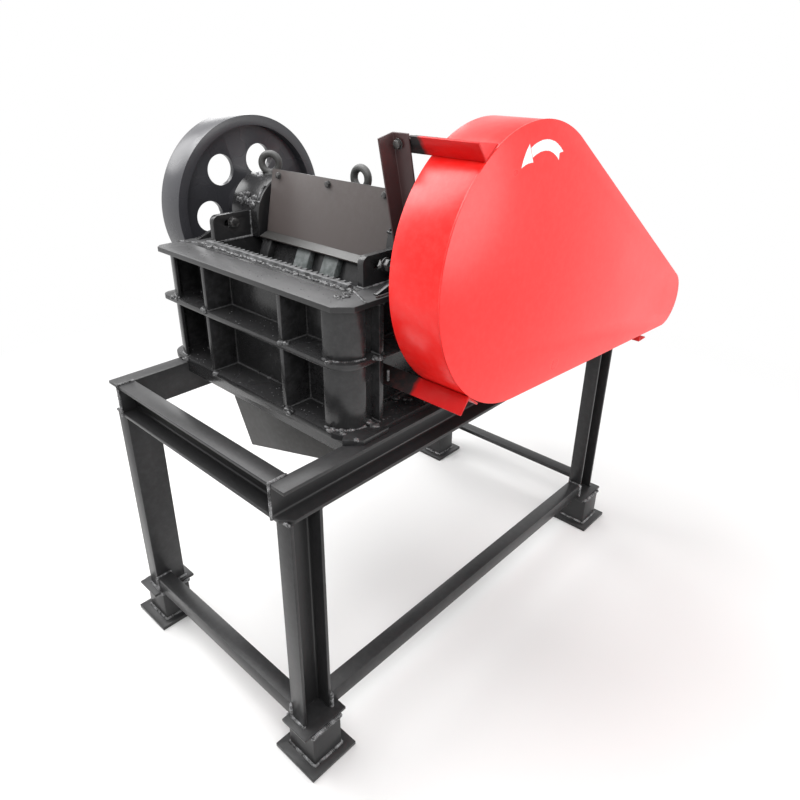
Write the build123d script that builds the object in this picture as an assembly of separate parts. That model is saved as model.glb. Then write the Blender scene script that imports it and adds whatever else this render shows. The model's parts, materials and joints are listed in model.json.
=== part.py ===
from build123d import *
from math import asin, atan2, cos, degrees, hypot, radians, sin, tan
import os

# Jaw crusher on a welded steel stand, with its flywheel, belt drive and motor. Lengths are in
# millimetres and angles in degrees. X runs from the feed end to the motor, Y from the belt side
# to the flywheel side and Z up from the floor, counted from the outer corner of the first foot.
# The last step moves every piece so that the origin is at the bottom centre.

# Stand: feet, legs and beams of channel, and tie rails of angle
FOOT_PITCH_X = 1200
FOOT_PITCH_Y = 630
FOOT_SIZE = 130
FOOT_PLATE = 10
STUB_HEIGHT = 92
CAP_LENGTH = 120
CAP_WIDTH = 80
CAP_PLATE = 8
STAND_HEIGHT = 740
CHANNEL_HEIGHT = 80
CHANNEL_WIDTH = 43
CHANNEL_WEB = 5
CHANNEL_FLANGE = 8
CHANNEL_ROOT = 5
LEG_BACK = 28
BEAM_PROUD = 9
BEAM_MITRE = 22
ANGLE_SIZE = 40
ANGLE_PLATE = 4

# Crusher body: side plates, end walls and the stiffening plates round them
FEED_WIDTH = 500
FEED_WIDTH_OFFSET = 40
SIDE_PLATE = 16
SIDE_RIB = 64
FRONT_RIB = 72
REAR_RIB = 50
BODY_FRONT = 204
BODY_LENGTH = 484
END_WALL = 20
STIFFENER = 12
MIDDLE_HEIGHT = 152
BODY_HEIGHT = 282
CHEEK_HEIGHT = 64
CHEEK_SETBACK = 46
CHEEK_CORNER = 16
REAR_WALL_HEIGHT = 220
TOP_CORNER_NEAR = 32
TOP_CORNER_FAR = 12
MIDDLE_ROUND_NEAR = 50
MIDDLE_ROUND_FAR = 20
BASE_ROUND_NEAR = 62
BASE_ROUND_FAR = 46
REAR_CORNER_CUT = 30
PAD_LENGTH = 96
PAD_REACH = 92
PAD_PROUD = 6
PAD_CORNER = 30
BASE_REACH = 82
LIP_DEPTH = 24
RIB = 12
RIB_SETBACK = 4
RIB_PITCH = 274
COLUMN_RADIUS = 60
COLUMN_WALL = 8
COLUMN_SETBACK = 8
STRIP_SETBACK = 14
STRIP_LAP = 26
FLANGE_BACK = 106
FLANGE_SETBACK = 2
SLOT_LENGTH = 36
SLOT_WIDTH = 18
SLOT_FROM_EDGE = 49
SLOT_DEPTH = 23

# Bearings, eccentric shaft and wheels
SHAFT_BACK = 324
SHAFT_RISE = 329
THROW = 8
HOUSING_RADIUS = 96
HOUSING_INSIDE = 30
HOUSING_OUTSIDE = 66
HOUSING_CHAMFER = 3
GUSSET_INSET = 14
GUSSET_SLOPE = 18
GUSSET_FOOT = 3
CAP_RADIUS = 72
CAP_DEPTH = 8
JOURNAL_RADIUS = 45
SHAFT_END_RADIUS = 36
ECCENTRIC_RADIUS = 56
SHAFT_SHOULDER = 5
RUNNING_CLEARANCE = 0.08
SEAT_CLEARANCE = 0.3
WHEEL_RADIUS = 229
WHEEL_RIM = 25
WHEEL_WEB = 14
WHEEL_HUB = 62
HUB_PROUD = 12
FLYWHEEL_WIDTH = 82
FLYWHEEL_GAP = 33
FLYWHEEL_RECESS = 29
WHEEL_HOLES = 6
WHEEL_HOLE_RADIUS = 39.5
WHEEL_HOLE_CIRCLE = 123
WHEEL_HOLE_ANGLE = 8
SHAFT_PROUD = 4
DRIVEN_WIDTH = 84
DRIVEN_GAP = 78
BELTS = 4
BELT_PITCH = 19
BELT_TOP = 17
BELT_DEPTH = 11
GROOVE_ANGLE = 18
GROOVE_CLEARANCE = 0.4
GROOVE_SPARE = 3

# Swing jaw and what holds its foot
NIP_ANGLE = 21
DISCHARGE_GAP = 22
JAW_FOOT = 40
JAW_SIDE_GAP = 44
JAW_PLATE = 20
TOOTH_PITCH = 17
TOOTH_DEPTH = 10
TOOTH_CREST = 5
FIXED_JAW_FOOT = 36
FIXED_JAW_PROUD = 10
BARREL_RADIUS = 70
BARREL_SEAT = 0.1
PITMAN_PLATE = 26
PITMAN_RIB = 16
PITMAN_LAP = 10
PITMAN_RIB_END = 14
PITMAN_RIB_FOOT = 20
PITMAN_RIB_DROP = 30
PITMAN_PROUD = 8
PITMAN_DROP = 6
CLAMP_PROUD = 4
CLAMP_HEIGHT = 46
CLAMP_WIDTH = 48
CLAMP_THICKNESS = 20
CLAMP_INNER = 48
CLAMP_GAP = 2
CLAMP_END = 10
CLAMP_BEVEL = 4
COVER_SHEET = 4
COVER_LIP = (-104, -39)
COVER_FOLD = (-80, -30)
COVER_TOP = (-50, 118)
COVER_BRACKET = 6
COVER_BRACKET_END = 26
COVER_BRACKET_FOOT = 56
COVER_BRACKET_DROP = 6
COVER_BRACKET_WIDTH = 22
LINER = 18
LINER_DROP = 40
LINER_GAP = 2
LINER_LAP = 40
LINER_SLOPE = 60
LINER_BACK = 8
TOGGLE_PLATE = 18
TOGGLE_SIDE_GAP = 56
TOGGLE_BACK = 58
TOGGLE_SEAT_DEPTH = 111
TOGGLE_RISE = 10
TOGGLE_SOCKET = 14
TOGGLE_HEIGHT = 46
TOGGLE_ROOM = 7
SEAT_FRONT = 6
SEAT_DROP = 34
SEAT_RISE = 50
SEAT_END = 12
ROD_RADIUS = 10
ROD_FREE = 15
ROD_HEIGHT = 48
SPRING_RADIUS = 20
SPRING_LENGTH = 70
SPRING_WASHER = 8
SPRING_GAP = 4
ROD_NUT = 16
ROD_TAIL = 30

# Discharge chute
CHUTE_SHEET = 5
CHUTE_FRONT_LEAN = 13.5
CHUTE_REAR = 700
CHUTE_REAR_LEAN = 27
CHUTE_DROP = 310
CHUTE_MOUTH_SLOPE = 18.5
CHUTE_BEAM_GAP = 7
CHUTE_SIDE_INSET = 6
CHUTE_FRONT_INSET = 1
CHUTE_SPARE = 60

# Belt guard, its post, arm and brackets
GUARD_BIG_RADIUS = 272
GUARD_SMALL_RADIUS = 77
GUARD_TAIL_X = 746
GUARD_TAIL_DROP = 243
GUARD_DEPTH = 118
GUARD_SHEET = 3
GUARD_WHEEL_GAP = 20
ARM_ANGLE = 128
BRACKET_ANGLE = -129
ARM_END = 8
POST_TOP = (-190, 250)
POST_INSET = 3
POST_LEAN = 12.8
REAR_BRACKET_BACK = 55

# Lifting eyes
EYE_RING = 23.5
EYE_WIRE = 8
EYE_SIDES = 8
EYE_COLLAR = 17.5
EYE_COLLAR_HEIGHT = 7
EYE_SUNK = 4
EYE_BOSS = 22
EYE_BOSS_HEIGHT = 22
EYE_SEAT = 22
EYE_SEAT_DEPTH = 12
EYE_TURN = 35
JAW_EYE_OFFSET = -53

# Motor, its pulley and the rail under it
MOTOR_REACH = 657
MOTOR_SHAFT_HEIGHT = 132
MOTOR_FRONT = 134
MOTOR_BODY = 330
MOTOR_COWL = 78
MOTOR_RADIUS = 118
MOTOR_FLANGE = 26
MOTOR_BOSS = 8
MOTOR_BOSS_RADIUS = 90
MOTOR_SHIELD_PROUD = 4
MOTOR_FIN = 9
MOTOR_FINS = 32
MOTOR_FIN_WIDTH = 4
MOTOR_SHAFT_RADIUS = 19
FOOT_SPREAD = 108
FOOT_PAD = 50
FOOT_PAD_HEIGHT = 15
MOTOR_FOOT_LENGTH = 216
MOTOR_FOOT_START = 60
FOOT_WEB_INSET = 10
FOOT_WEB_THICKNESS = 4
FOOT_WEB_REACH = 60
FOOT_WEB_HEIGHT = 42
BOX_LENGTH = 110
BOX_WIDTH = 100
BOX_HEIGHT = 52
BOX_START = 90
BOX_SEAT = 6
PULLEY_RADIUS = 57

# Places that follow from the sizes above
leg_x = (FOOT_SIZE / 2, FOOT_SIZE / 2 + FOOT_PITCH_X)
stand_middle = FOOT_SIZE / 2 + FOOT_PITCH_Y / 2
near_back = FOOT_SIZE / 2 + LEG_BACK
far_back = FOOT_SIZE / 2 + FOOT_PITCH_Y - LEG_BACK
leg_foot = FOOT_PLATE + STUB_HEIGHT + CAP_PLATE
beam_foot = STAND_HEIGHT - CHANNEL_HEIGHT
beam_ends = (leg_x[0] - CHANNEL_HEIGHT / 2 - BEAM_PROUD, leg_x[1] + CHANNEL_HEIGHT / 2 + BEAM_PROUD)
body_middle = stand_middle + FEED_WIDTH_OFFSET
side_inner = (body_middle - FEED_WIDTH / 2, body_middle + FEED_WIDTH / 2)
side_outer = (side_inner[0] - SIDE_PLATE, side_inner[1] + SIDE_PLATE)
body_sides = (side_outer[0] - SIDE_RIB, side_outer[1] + SIDE_RIB)
wall_front = BODY_FRONT + FRONT_RIB
wall_rear = wall_front + BODY_LENGTH
body_rear = wall_rear + REAR_RIB
base_top = STAND_HEIGHT + STIFFENER
middle_foot = STAND_HEIGHT + MIDDLE_HEIGHT
middle_top = middle_foot + STIFFENER
body_top = STAND_HEIGHT + BODY_HEIGHT
top_foot = body_top - STIFFENER
shaft_x = BODY_FRONT + SHAFT_BACK
shaft_z = STAND_HEIGHT + SHAFT_RISE
flange_x = BODY_FRONT + FLANGE_BACK
cheek_front = wall_front + CHEEK_SETBACK
cheek_top = body_top + CHEEK_HEIGHT
housing_span = ((side_outer[0] - HOUSING_OUTSIDE, side_inner[0] + HOUSING_INSIDE),
                (side_inner[1] - HOUSING_INSIDE, side_outer[1] + HOUSING_OUTSIDE))
flywheel_near = housing_span[1][1] + FLYWHEEL_GAP
flywheel_far = flywheel_near + FLYWHEEL_WIDTH
driven_far = housing_span[0][0] - DRIVEN_GAP
driven_near = driven_far - DRIVEN_WIDTH
guard_near = driven_near - GUARD_WHEEL_GAP
guard_tail = (shaft_x + GUARD_TAIL_X, shaft_z - GUARD_TAIL_DROP)
jaw_centre_z = shaft_z - THROW
jaw_width = FEED_WIDTH - 2 * JAW_SIDE_GAP
jaw_span = (body_middle - jaw_width / 2, body_middle + jaw_width / 2)
toggle_width = jaw_width - 2 * TOGGLE_SIDE_GAP
clamp_top = body_top + CLAMP_PROUD
liner_top = body_top - LINER_DROP
jaw_back = JAW_PLATE + SEAT_CLEARANCE
jaw_foot = (wall_front + END_WALL + JAW_PLATE + DISCHARGE_GAP, STAND_HEIGHT + JAW_FOOT)
post_y = body_sides[0] + POST_INSET
motor_x = shaft_x + MOTOR_REACH
motor_axis = (motor_x, STAND_HEIGHT + MOTOR_SHAFT_HEIGHT)
eye_rise = EYE_COLLAR_HEIGHT + EYE_RING + EYE_WIRE - EYE_SUNK
housing_eye_foot = shaft_z + HOUSING_RADIUS - EYE_SEAT_DEPTH
jaw_eye_foot = jaw_centre_z + BARREL_RADIUS + EYE_BOSS_HEIGHT
tail_end = guard_tail[0] + GUARD_SMALL_RADIUS
to_origin = Pos(-tail_end / 2, -(guard_near + flywheel_far + SHAFT_PROUD) / 2, 0)


def block(x0, x1, y0, y1, z0, z1):
    """Rectangular block between two limits on each axis."""
    middle = Pos((x0 + x1) / 2, (y0 + y1) / 2, (z0 + z1) / 2)
    return middle * Box(x1 - x0, y1 - y0, z1 - z0)


def outline(*points):
    """Face with straight sides through the points."""
    return make_face(Polyline(*points, close=True))


def from_side(shape, y0, y1):
    """Solid with the given outline in the X-Z plane, from y0 to y1."""
    return extrude(Plane.XZ.offset(-y0) * shape, amount=y1 - y0, dir=(0, 1, 0))


def from_front(shape, x0, x1):
    """Solid with the given outline in the Y-Z plane, from x0 to x1."""
    return extrude(Plane.YZ.offset(x0) * shape, amount=x1 - x0, dir=(1, 0, 0))


def from_top(shape, z0, z1):
    """Solid with the given outline in the X-Y plane, from z0 to z1."""
    return extrude(Plane.XY.offset(z0) * shape, amount=z1 - z0, dir=(0, 0, 1))


def across(x, z, radius, y0, y1):
    """Round bar along Y between y0 and y1."""
    return from_side(Pos(x, z) * Circle(radius), y0, y1)


def turned(section, x, z, y0=0):
    """Solid turned about the Y axis through x, z from a section in radius and Y."""
    return Pos(x, y0, z) * revolve(section, axis=Axis.Y)


def from_shaft(way):
    """Place in X and Z at a distance from the shaft's middle."""
    return (shaft_x + way[0], shaft_z + way[1])


def near_and_far(y0, y1):
    """The same stretch of Y on the near side, and mirrored about the crusher's middle."""
    return ((y0, y1), (2 * body_middle - y1, 2 * body_middle - y0))


def channel_section():
    """Channel section, its web's back on the Y axis and its flanges towards +X."""
    half = CHANNEL_HEIGHT / 2
    inner = half - CHANNEL_FLANGE
    section = outline(
        (0, -half), (CHANNEL_WIDTH, -half), (CHANNEL_WIDTH, -inner), (CHANNEL_WEB, -inner),
        (CHANNEL_WEB, inner), (CHANNEL_WIDTH, inner), (CHANNEL_WIDTH, half), (0, half))
    roots = section.vertices().filter_by(lambda v: abs(v.X - CHANNEL_WEB) < 0.1)
    return fillet(roots, CHANNEL_ROOT)


def channel(start, along, flange, length):
    """Channel bar from a point at the middle of its web's back."""
    plane = Plane(origin=start, x_dir=flange, z_dir=along)
    return extrude(plane * channel_section(), amount=length, dir=along)


def angle(start, leg_a, leg_b, length):
    """Angle bar from its outer corner, along leg_a cross leg_b."""
    along = Vector(*leg_a).cross(Vector(*leg_b))
    section = outline(
        (0, 0), (ANGLE_SIZE, 0), (ANGLE_SIZE, ANGLE_PLATE), (ANGLE_PLATE, ANGLE_PLATE),
        (ANGLE_PLATE, ANGLE_SIZE), (0, ANGLE_SIZE))
    return extrude(Plane(origin=start, x_dir=leg_a, z_dir=along) * section, amount=length, dir=along)


def loop(first, first_radius, second, second_radius):
    """Face round two circles and their outer tangents."""
    way_x, way_z = second[0] - first[0], second[1] - first[1]
    turn = degrees(asin((first_radius - second_radius) / hypot(way_x, way_z)))
    upper = degrees(atan2(way_z, way_x)) + 90 - turn
    lower = degrees(atan2(way_z, way_x)) - 90 + turn

    def on(centre, radius, angle_at):
        return (centre[0] + radius * cos(radians(angle_at)), centre[1] + radius * sin(radians(angle_at)))

    middle = (upper + lower) / 2
    edges = [
        Line(on(first, first_radius, upper), on(second, second_radius, upper)),
        ThreePointArc(on(second, second_radius, upper), on(second, second_radius, middle),
                      on(second, second_radius, lower)),
        Line(on(second, second_radius, lower), on(first, first_radius, lower)),
        ThreePointArc(on(first, first_radius, lower), on(first, first_radius, middle + 180),
                      on(first, first_radius, upper))]
    return make_face(edges)


def stand_foot(x, y):
    """Base plate, stub of two channels set toe to toe, and cap plate."""
    plate = block(x - FOOT_SIZE / 2, x + FOOT_SIZE / 2, y - FOOT_SIZE / 2, y + FOOT_SIZE / 2, 0, FOOT_PLATE)
    stub_top = FOOT_PLATE + STUB_HEIGHT
    cap = block(x - CAP_LENGTH / 2, x + CAP_LENGTH / 2, y - CAP_WIDTH / 2, y + CAP_WIDTH / 2,
                stub_top, stub_top + CAP_PLATE)
    near = channel((x, y - CHANNEL_WIDTH, FOOT_PLATE), (0, 0, 1), (0, 1, 0), STUB_HEIGHT)
    far = channel((x, y + CHANNEL_WIDTH, FOOT_PLATE), (0, 0, 1), (0, -1, 0), STUB_HEIGHT)
    return plate + near + far + cap


def stand_leg(x, near):
    """Upright channel with its web towards the middle of the stand."""
    back, flange = (near_back, (0, -1, 0)) if near else (far_back, (0, 1, 0))
    return channel((x, back, leg_foot), (0, 0, 1), flange, beam_foot - leg_foot)


def long_beam(near):
    """Long top beam, its lower flange mitred at both ends."""
    back, flange = (near_back, -1) if near else (far_back, 1)
    beam = channel((beam_ends[0], back, STAND_HEIGHT - CHANNEL_HEIGHT / 2), (1, 0, 0), (0, flange, 0),
                   beam_ends[1] - beam_ends[0])
    toe = back + flange * CHANNEL_WIDTH
    for end, inwards in ((beam_ends[0], 1), (beam_ends[1], -1)):
        corner = outline((end, toe), (end + inwards * BEAM_MITRE, toe), (end, toe - flange * BEAM_MITRE))
        beam -= from_top(corner, beam_foot, beam_foot + CHANNEL_FLANGE + CHANNEL_ROOT)
    return beam


def end_beam(front):
    """Short top beam between the webs of the long ones."""
    x = beam_ends[0] + CHANNEL_WIDTH if front else beam_ends[1] - CHANNEL_WIDTH
    flange = (-1, 0, 0) if front else (1, 0, 0)
    return channel((x, near_back, STAND_HEIGHT - CHANNEL_HEIGHT / 2), (0, 1, 0), flange, far_back - near_back)


def end_rail(front):
    """Angle rail between the backs of two legs, one leg of it flat on top."""
    top = leg_foot + ANGLE_SIZE
    span = far_back - near_back
    if front:
        return angle((leg_x[0] - CHANNEL_HEIGHT / 2, near_back, top), (1, 0, 0), (0, 0, -1), span)
    return angle((leg_x[1] + CHANNEL_HEIGHT / 2, near_back, top), (0, 0, -1), (-1, 0, 0), span)


def side_rail():
    """Angle rail along the near side, between the legs."""
    start = leg_x[0] + CHANNEL_HEIGHT / 2
    corner = (start, near_back - CHANNEL_WIDTH, leg_foot + ANGLE_SIZE)
    return angle(corner, (0, 0, -1), (0, 1, 0), FOOT_PITCH_X - CHANNEL_HEIGHT)


def motor_rail():
    """Cross channel that carries the front feet of the motor."""
    back = motor_x - FOOT_SPREAD - CHANNEL_WIDTH / 2
    start = (back, near_back, STAND_HEIGHT - CHANNEL_HEIGHT / 2)
    return channel(start, (0, 1, 0), (1, 0, 0), far_back - near_back)


def housing_outline(extra=0):
    """Round bearing housing with its square block in front, in X and Z."""
    radius = HOUSING_RADIUS + extra
    front = Pos(shaft_x - radius / 2, (body_top + shaft_z) / 2) * Rectangle(radius, shaft_z - body_top)
    return Pos(shaft_x, shaft_z) * Circle(radius) + front


def housing_space():
    """Room for both bearing housings."""
    return from_side(housing_outline(SEAT_CLEARANCE), body_sides[0] - SIDE_RIB, body_sides[1] + SIDE_RIB)


def side_plate(near):
    """Side plate with its raised cheek, the bearing seat and the slot of the liner's bolt."""
    shape = outline(
        (wall_front, STAND_HEIGHT), (wall_rear, STAND_HEIGHT), (wall_rear, STAND_HEIGHT + REAR_WALL_HEIGHT),
        (shaft_x + HOUSING_RADIUS + REAR_CORNER_CUT, cheek_top - CHEEK_HEIGHT),
        (shaft_x + HOUSING_RADIUS, cheek_top), (cheek_front, cheek_top), (cheek_front, body_top),
        (wall_front, body_top))
    corner = shape.vertices().filter_by(lambda v: v.X < cheek_front + 1 and v.Y > cheek_top - 1)
    shape = fillet(corner, CHEEK_CORNER)
    slot = Pos(cheek_front + SLOT_FROM_EDGE, cheek_top - SLOT_DEPTH) * SlotOverall(SLOT_LENGTH, SLOT_WIDTH)
    side = 0 if near else 1
    low, high = sorted((side_inner[side], side_outer[side]))
    return from_side(shape - slot, low, high) - housing_space()


def front_wall():
    """Wall behind the fixed jaw plate."""
    return block(wall_front, wall_front + END_WALL, *side_inner, STAND_HEIGHT, body_top)


def rod_hole():
    """Room that the tension rod needs as the jaw's foot circles."""
    centre = Pos(body_middle, STAND_HEIGHT + ROD_HEIGHT + THROW)
    return from_front(centre * Circle(ROD_RADIUS + ROD_FREE), wall_rear - 2 * END_WALL, wall_rear + END_WALL)


def rear_wall():
    """Wall that carries the toggle seat, with the hole of the tension rod."""
    wall = block(wall_rear - END_WALL, wall_rear, *side_inner, STAND_HEIGHT, STAND_HEIGHT + REAR_WALL_HEIGHT)
    return wall - rod_hole()


def ring_outline(near_edge, rear, cut, near_cut, far_cut):
    """Outline of a stiffening plate round the body, its front corners rounded or chamfered."""
    far_edge = body_sides[1]
    shape = outline((BODY_FRONT, near_edge), (rear, near_edge), (rear, far_edge), (BODY_FRONT, far_edge))
    near_corner = shape.vertices().filter_by(lambda v: v.X < BODY_FRONT + 1 and v.Y < near_edge + 1)
    shape = cut(near_corner, near_cut)
    far_corner = shape.vertices().filter_by(lambda v: v.X < BODY_FRONT + 1 and v.Y > far_edge - 1)
    return cut(far_corner, far_cut)


def inside_of_body(rear):
    """Outline of the box that the side plates and the walls make."""
    return outline((wall_front, side_outer[0]), (rear, side_outer[0]), (rear, side_outer[1]),
                   (wall_front, side_outer[1]))


def base_stiffener():
    """Base plate with its corner pad and the lip along its front edge."""
    near_edge = side_outer[0] - BASE_REACH
    pad_edge = side_outer[0] - PAD_REACH
    shape = ring_outline(near_edge, body_rear, fillet, BASE_ROUND_NEAR, BASE_ROUND_FAR)
    pad_front = BODY_FRONT - PAD_PROUD
    pad_rear = BODY_FRONT + PAD_LENGTH
    pad = outline((pad_front, pad_edge + PAD_CORNER), (pad_front + PAD_CORNER, pad_edge), (pad_rear, pad_edge),
                  (pad_rear, side_outer[0]), (BODY_FRONT + COLUMN_RADIUS, side_outer[0]))
    plate = from_top(shape + pad - inside_of_body(wall_rear), STAND_HEIGHT, base_top)
    lip = block(BODY_FRONT, BODY_FRONT + RIB, near_back + SEAT_CLEARANCE, far_back - SEAT_CLEARANCE,
                STAND_HEIGHT - LIP_DEPTH, STAND_HEIGHT)
    return plate + lip


def middle_stiffener():
    """Middle plate round all four sides."""
    shape = ring_outline(body_sides[0], body_rear, fillet, MIDDLE_ROUND_NEAR, MIDDLE_ROUND_FAR)
    return from_top(shape - inside_of_body(wall_rear), middle_foot, middle_top)


def top_stiffener():
    """Top plate round the front and the sides as far as the bearing housings."""
    shape = ring_outline(body_sides[0], shaft_x, chamfer, TOP_CORNER_NEAR, TOP_CORNER_FAR)
    return from_top(shape - inside_of_body(shaft_x), top_foot, body_top) - housing_space()


def rib_places():
    """Both sides of each upright rib on the front and the rear wall."""
    middles = (body_middle - RIB_PITCH / 2, body_middle + RIB_PITCH / 2)
    return [(middle - RIB / 2, middle + RIB / 2) for middle in middles]


def front_ribs():
    """Upright ribs between the stiffening plates on the front wall."""
    ribs = []
    for low, high in rib_places():
        for foot, top in ((base_top, middle_foot), (middle_top, top_foot)):
            ribs.append(block(BODY_FRONT + RIB_SETBACK, wall_front, low, high, foot, top))
    return ribs


def rear_ribs():
    """Upright ribs behind the rear wall."""
    rear = body_rear - RIB_SETBACK
    return [block(wall_rear, rear, low, high, base_top, middle_foot) for low, high in rib_places()]


def corner_columns():
    """Quarters of pipe that close the front corners, each with a strip back to the first flange."""
    x = BODY_FRONT + COLUMN_SETBACK + COLUMN_RADIUS
    y = body_sides[0] + COLUMN_SETBACK + COLUMN_RADIUS
    pipe = Pos(x, y) * (Circle(COLUMN_RADIUS) - Circle(COLUMN_RADIUS - COLUMN_WALL))
    corner = Pos(x - COLUMN_RADIUS / 2, y - COLUMN_RADIUS / 2)
    quarter = pipe & corner * Rectangle(COLUMN_RADIUS, COLUMN_RADIUS)
    strip_front, strip_rear = x - STRIP_LAP, flange_x - RIB / 2
    strip_y = y - COLUMN_RADIUS + STRIP_SETBACK + COLUMN_WALL / 2
    strip = Pos((strip_front + strip_rear) / 2, strip_y) * Rectangle(strip_rear - strip_front, COLUMN_WALL)
    columns = []
    for foot, top in ((base_top, middle_foot), (middle_top, top_foot)):
        near = from_top(quarter + strip, foot, top)
        columns += [near, mirror(near, Plane.XZ.offset(-body_middle))]
    return columns


def side_flanges():
    """Upright plates between the stiffening plates on both sides, one under each bearing."""
    flanges = []
    for low, high in near_and_far(body_sides[0] + FLANGE_SETBACK, side_outer[0]):
        for x in (flange_x, shaft_x):
            for foot, top in ((base_top, middle_foot), (middle_top, top_foot)):
                flanges.append(block(x - RIB / 2, x + RIB / 2, low, high, foot, top) - housing_space())
    return flanges


def bearing_housing(near):
    """Bearing housing with its outer cap, bored for the shaft, and a flat seat for its eye bolt."""
    low, high = housing_span[0]
    body = from_side(housing_outline(), low, high)
    ends = body.faces().filter_by(Axis.Y).edges()
    body = chamfer(ends, HOUSING_CHAMFER)
    seat = Cylinder(EYE_SEAT, 2 * EYE_SEAT_DEPTH)
    seat = Pos(shaft_x, (low + high) / 2, housing_eye_foot + EYE_SEAT_DEPTH) * seat
    cap = across(shaft_x, shaft_z, CAP_RADIUS, low - CAP_DEPTH, low)
    bore = across(shaft_x, shaft_z, JOURNAL_RADIUS + RUNNING_CLEARANCE, low - CAP_DEPTH, high)
    housing = body + cap - bore - seat
    return housing if near else mirror(housing, Plane.XZ.offset(-body_middle))


def housing_gussets():
    """Sloping plates from the top stiffening plate up to the bearing housings."""
    start = flange_x
    end = shaft_x - HOUSING_RADIUS
    foot = body_top + GUSSET_FOOT
    high = foot + tan(radians(GUSSET_SLOPE)) * (end - start)
    shape = outline((start, body_top), (end, body_top), (end, high), (start, foot))
    outer = body_sides[0] + GUSSET_INSET
    return [from_side(shape, low, high) - housing_space() for low, high in near_and_far(outer, outer + RIB)]


def toothed_section(width, thickness):
    """Section of a jaw plate, its teeth towards +Y and its back on the X axis."""
    teeth = int(width // TOOTH_PITCH)
    root = thickness - TOOTH_DEPTH
    edge = (width - teeth * TOOTH_PITCH) / 2
    slope = (TOOTH_PITCH - 2 * TOOTH_CREST) / 2
    points = [(0, 0), (width, 0), (width, root)]
    for tooth in range(teeth):
        right = width - edge - tooth * TOOTH_PITCH
        points += [(right - TOOTH_CREST / 2, root), (right - TOOTH_CREST / 2 - slope, thickness),
                   (right - TOOTH_CREST * 1.5 - slope, thickness),
                   (right - TOOTH_CREST * 1.5 - 2 * slope, root)]
    points.append((0, root))
    return outline(*points)


def fixed_jaw_plate():
    """Corrugated plate on the front wall, its teeth upright."""
    low = side_inner[0] + SEAT_CLEARANCE
    section = toothed_section(FEED_WIDTH - 2 * SEAT_CLEARANCE, JAW_PLATE)
    foot = STAND_HEIGHT + FIXED_JAW_FOOT
    place = Plane(origin=(wall_front + END_WALL, low, foot), x_dir=(0, 1, 0), z_dir=(0, 0, -1))
    return extrude(place * section, amount=body_top + FIXED_JAW_PROUD - foot, dir=(0, 0, 1))


def cheek_liners():
    """Wear plates on the side plates, clear of the bearing housings."""
    front = wall_front + END_WALL + JAW_PLATE + LINER_GAP
    foot = STAND_HEIGHT + FIXED_JAW_FOOT
    reach = shaft_x - HOUSING_RADIUS
    shape = outline((front, foot), (reach + LINER_LAP, foot), (reach + LINER_SLOPE, liner_top - LINER_SLOPE),
                    (reach - LINER_BACK, liner_top), (front, liner_top))
    return [from_side(shape, low, high) for low, high in near_and_far(side_inner[0], side_inner[0] + LINER)]


def toggle_front():
    """Middle of the toggle plate's front end, in X and Z."""
    return (jaw_foot[0] + PITMAN_PLATE + JAW_PLATE + TOGGLE_BACK, jaw_foot[1] + TOGGLE_HEIGHT)


def toggle_rear():
    """Middle of the toggle plate's rear end, in X and Z."""
    x, z = toggle_front()
    rear = wall_rear - END_WALL - TOGGLE_SEAT_DEPTH
    return (rear, z + (rear - x) * tan(radians(TOGGLE_RISE)))


def toggle_plate():
    """Plate with round ends between the jaw's foot and the rear seat."""
    x, z = toggle_front()
    length = hypot(toggle_rear()[0] - x, toggle_rear()[1] - z)
    place = Pos(x, z) * Rot(0, 0, TOGGLE_RISE)
    shape = place * (Pos(length / 2, 0) * SlotOverall(length + TOGGLE_PLATE, TOGGLE_PLATE))
    return from_side(shape, body_middle - toggle_width / 2, body_middle + toggle_width / 2)


def toggle_seat():
    """Block on the rear wall, hollowed where the toggle plate's end moves."""
    x, z = toggle_rear()
    wall = wall_rear - END_WALL
    half = toggle_width / 2 + SEAT_END
    seat = block(x - SEAT_FRONT, wall, body_middle - half, body_middle + half, z - SEAT_DROP, z + SEAT_RISE)
    room = TOGGLE_PLATE / 2 + THROW + TOGGLE_ROOM
    hollow = Pos(x, z + THROW) * Circle(room)
    mouth = Pos(x - room, z + THROW) * Rectangle(2 * room, 2 * room)
    return seat - from_side(hollow + mouth, body_middle - half, body_middle + half)


def jaw_line(height, behind):
    """Point at a height on the line that lies behind the swing jaw's tooth crests."""
    tilt = radians(NIP_ANGLE)
    return (jaw_foot[0] + (height - jaw_foot[1]) * tan(tilt) + behind / cos(tilt), height)


def pitman_plate():
    """Outline of the pitman's front plate."""
    foot, top = jaw_foot[1] - PITMAN_DROP, body_top + PITMAN_PROUD
    return outline(jaw_line(foot, jaw_back), jaw_line(foot, jaw_back + PITMAN_PLATE),
                   jaw_line(top, jaw_back + PITMAN_PLATE), jaw_line(top, jaw_back))


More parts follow.
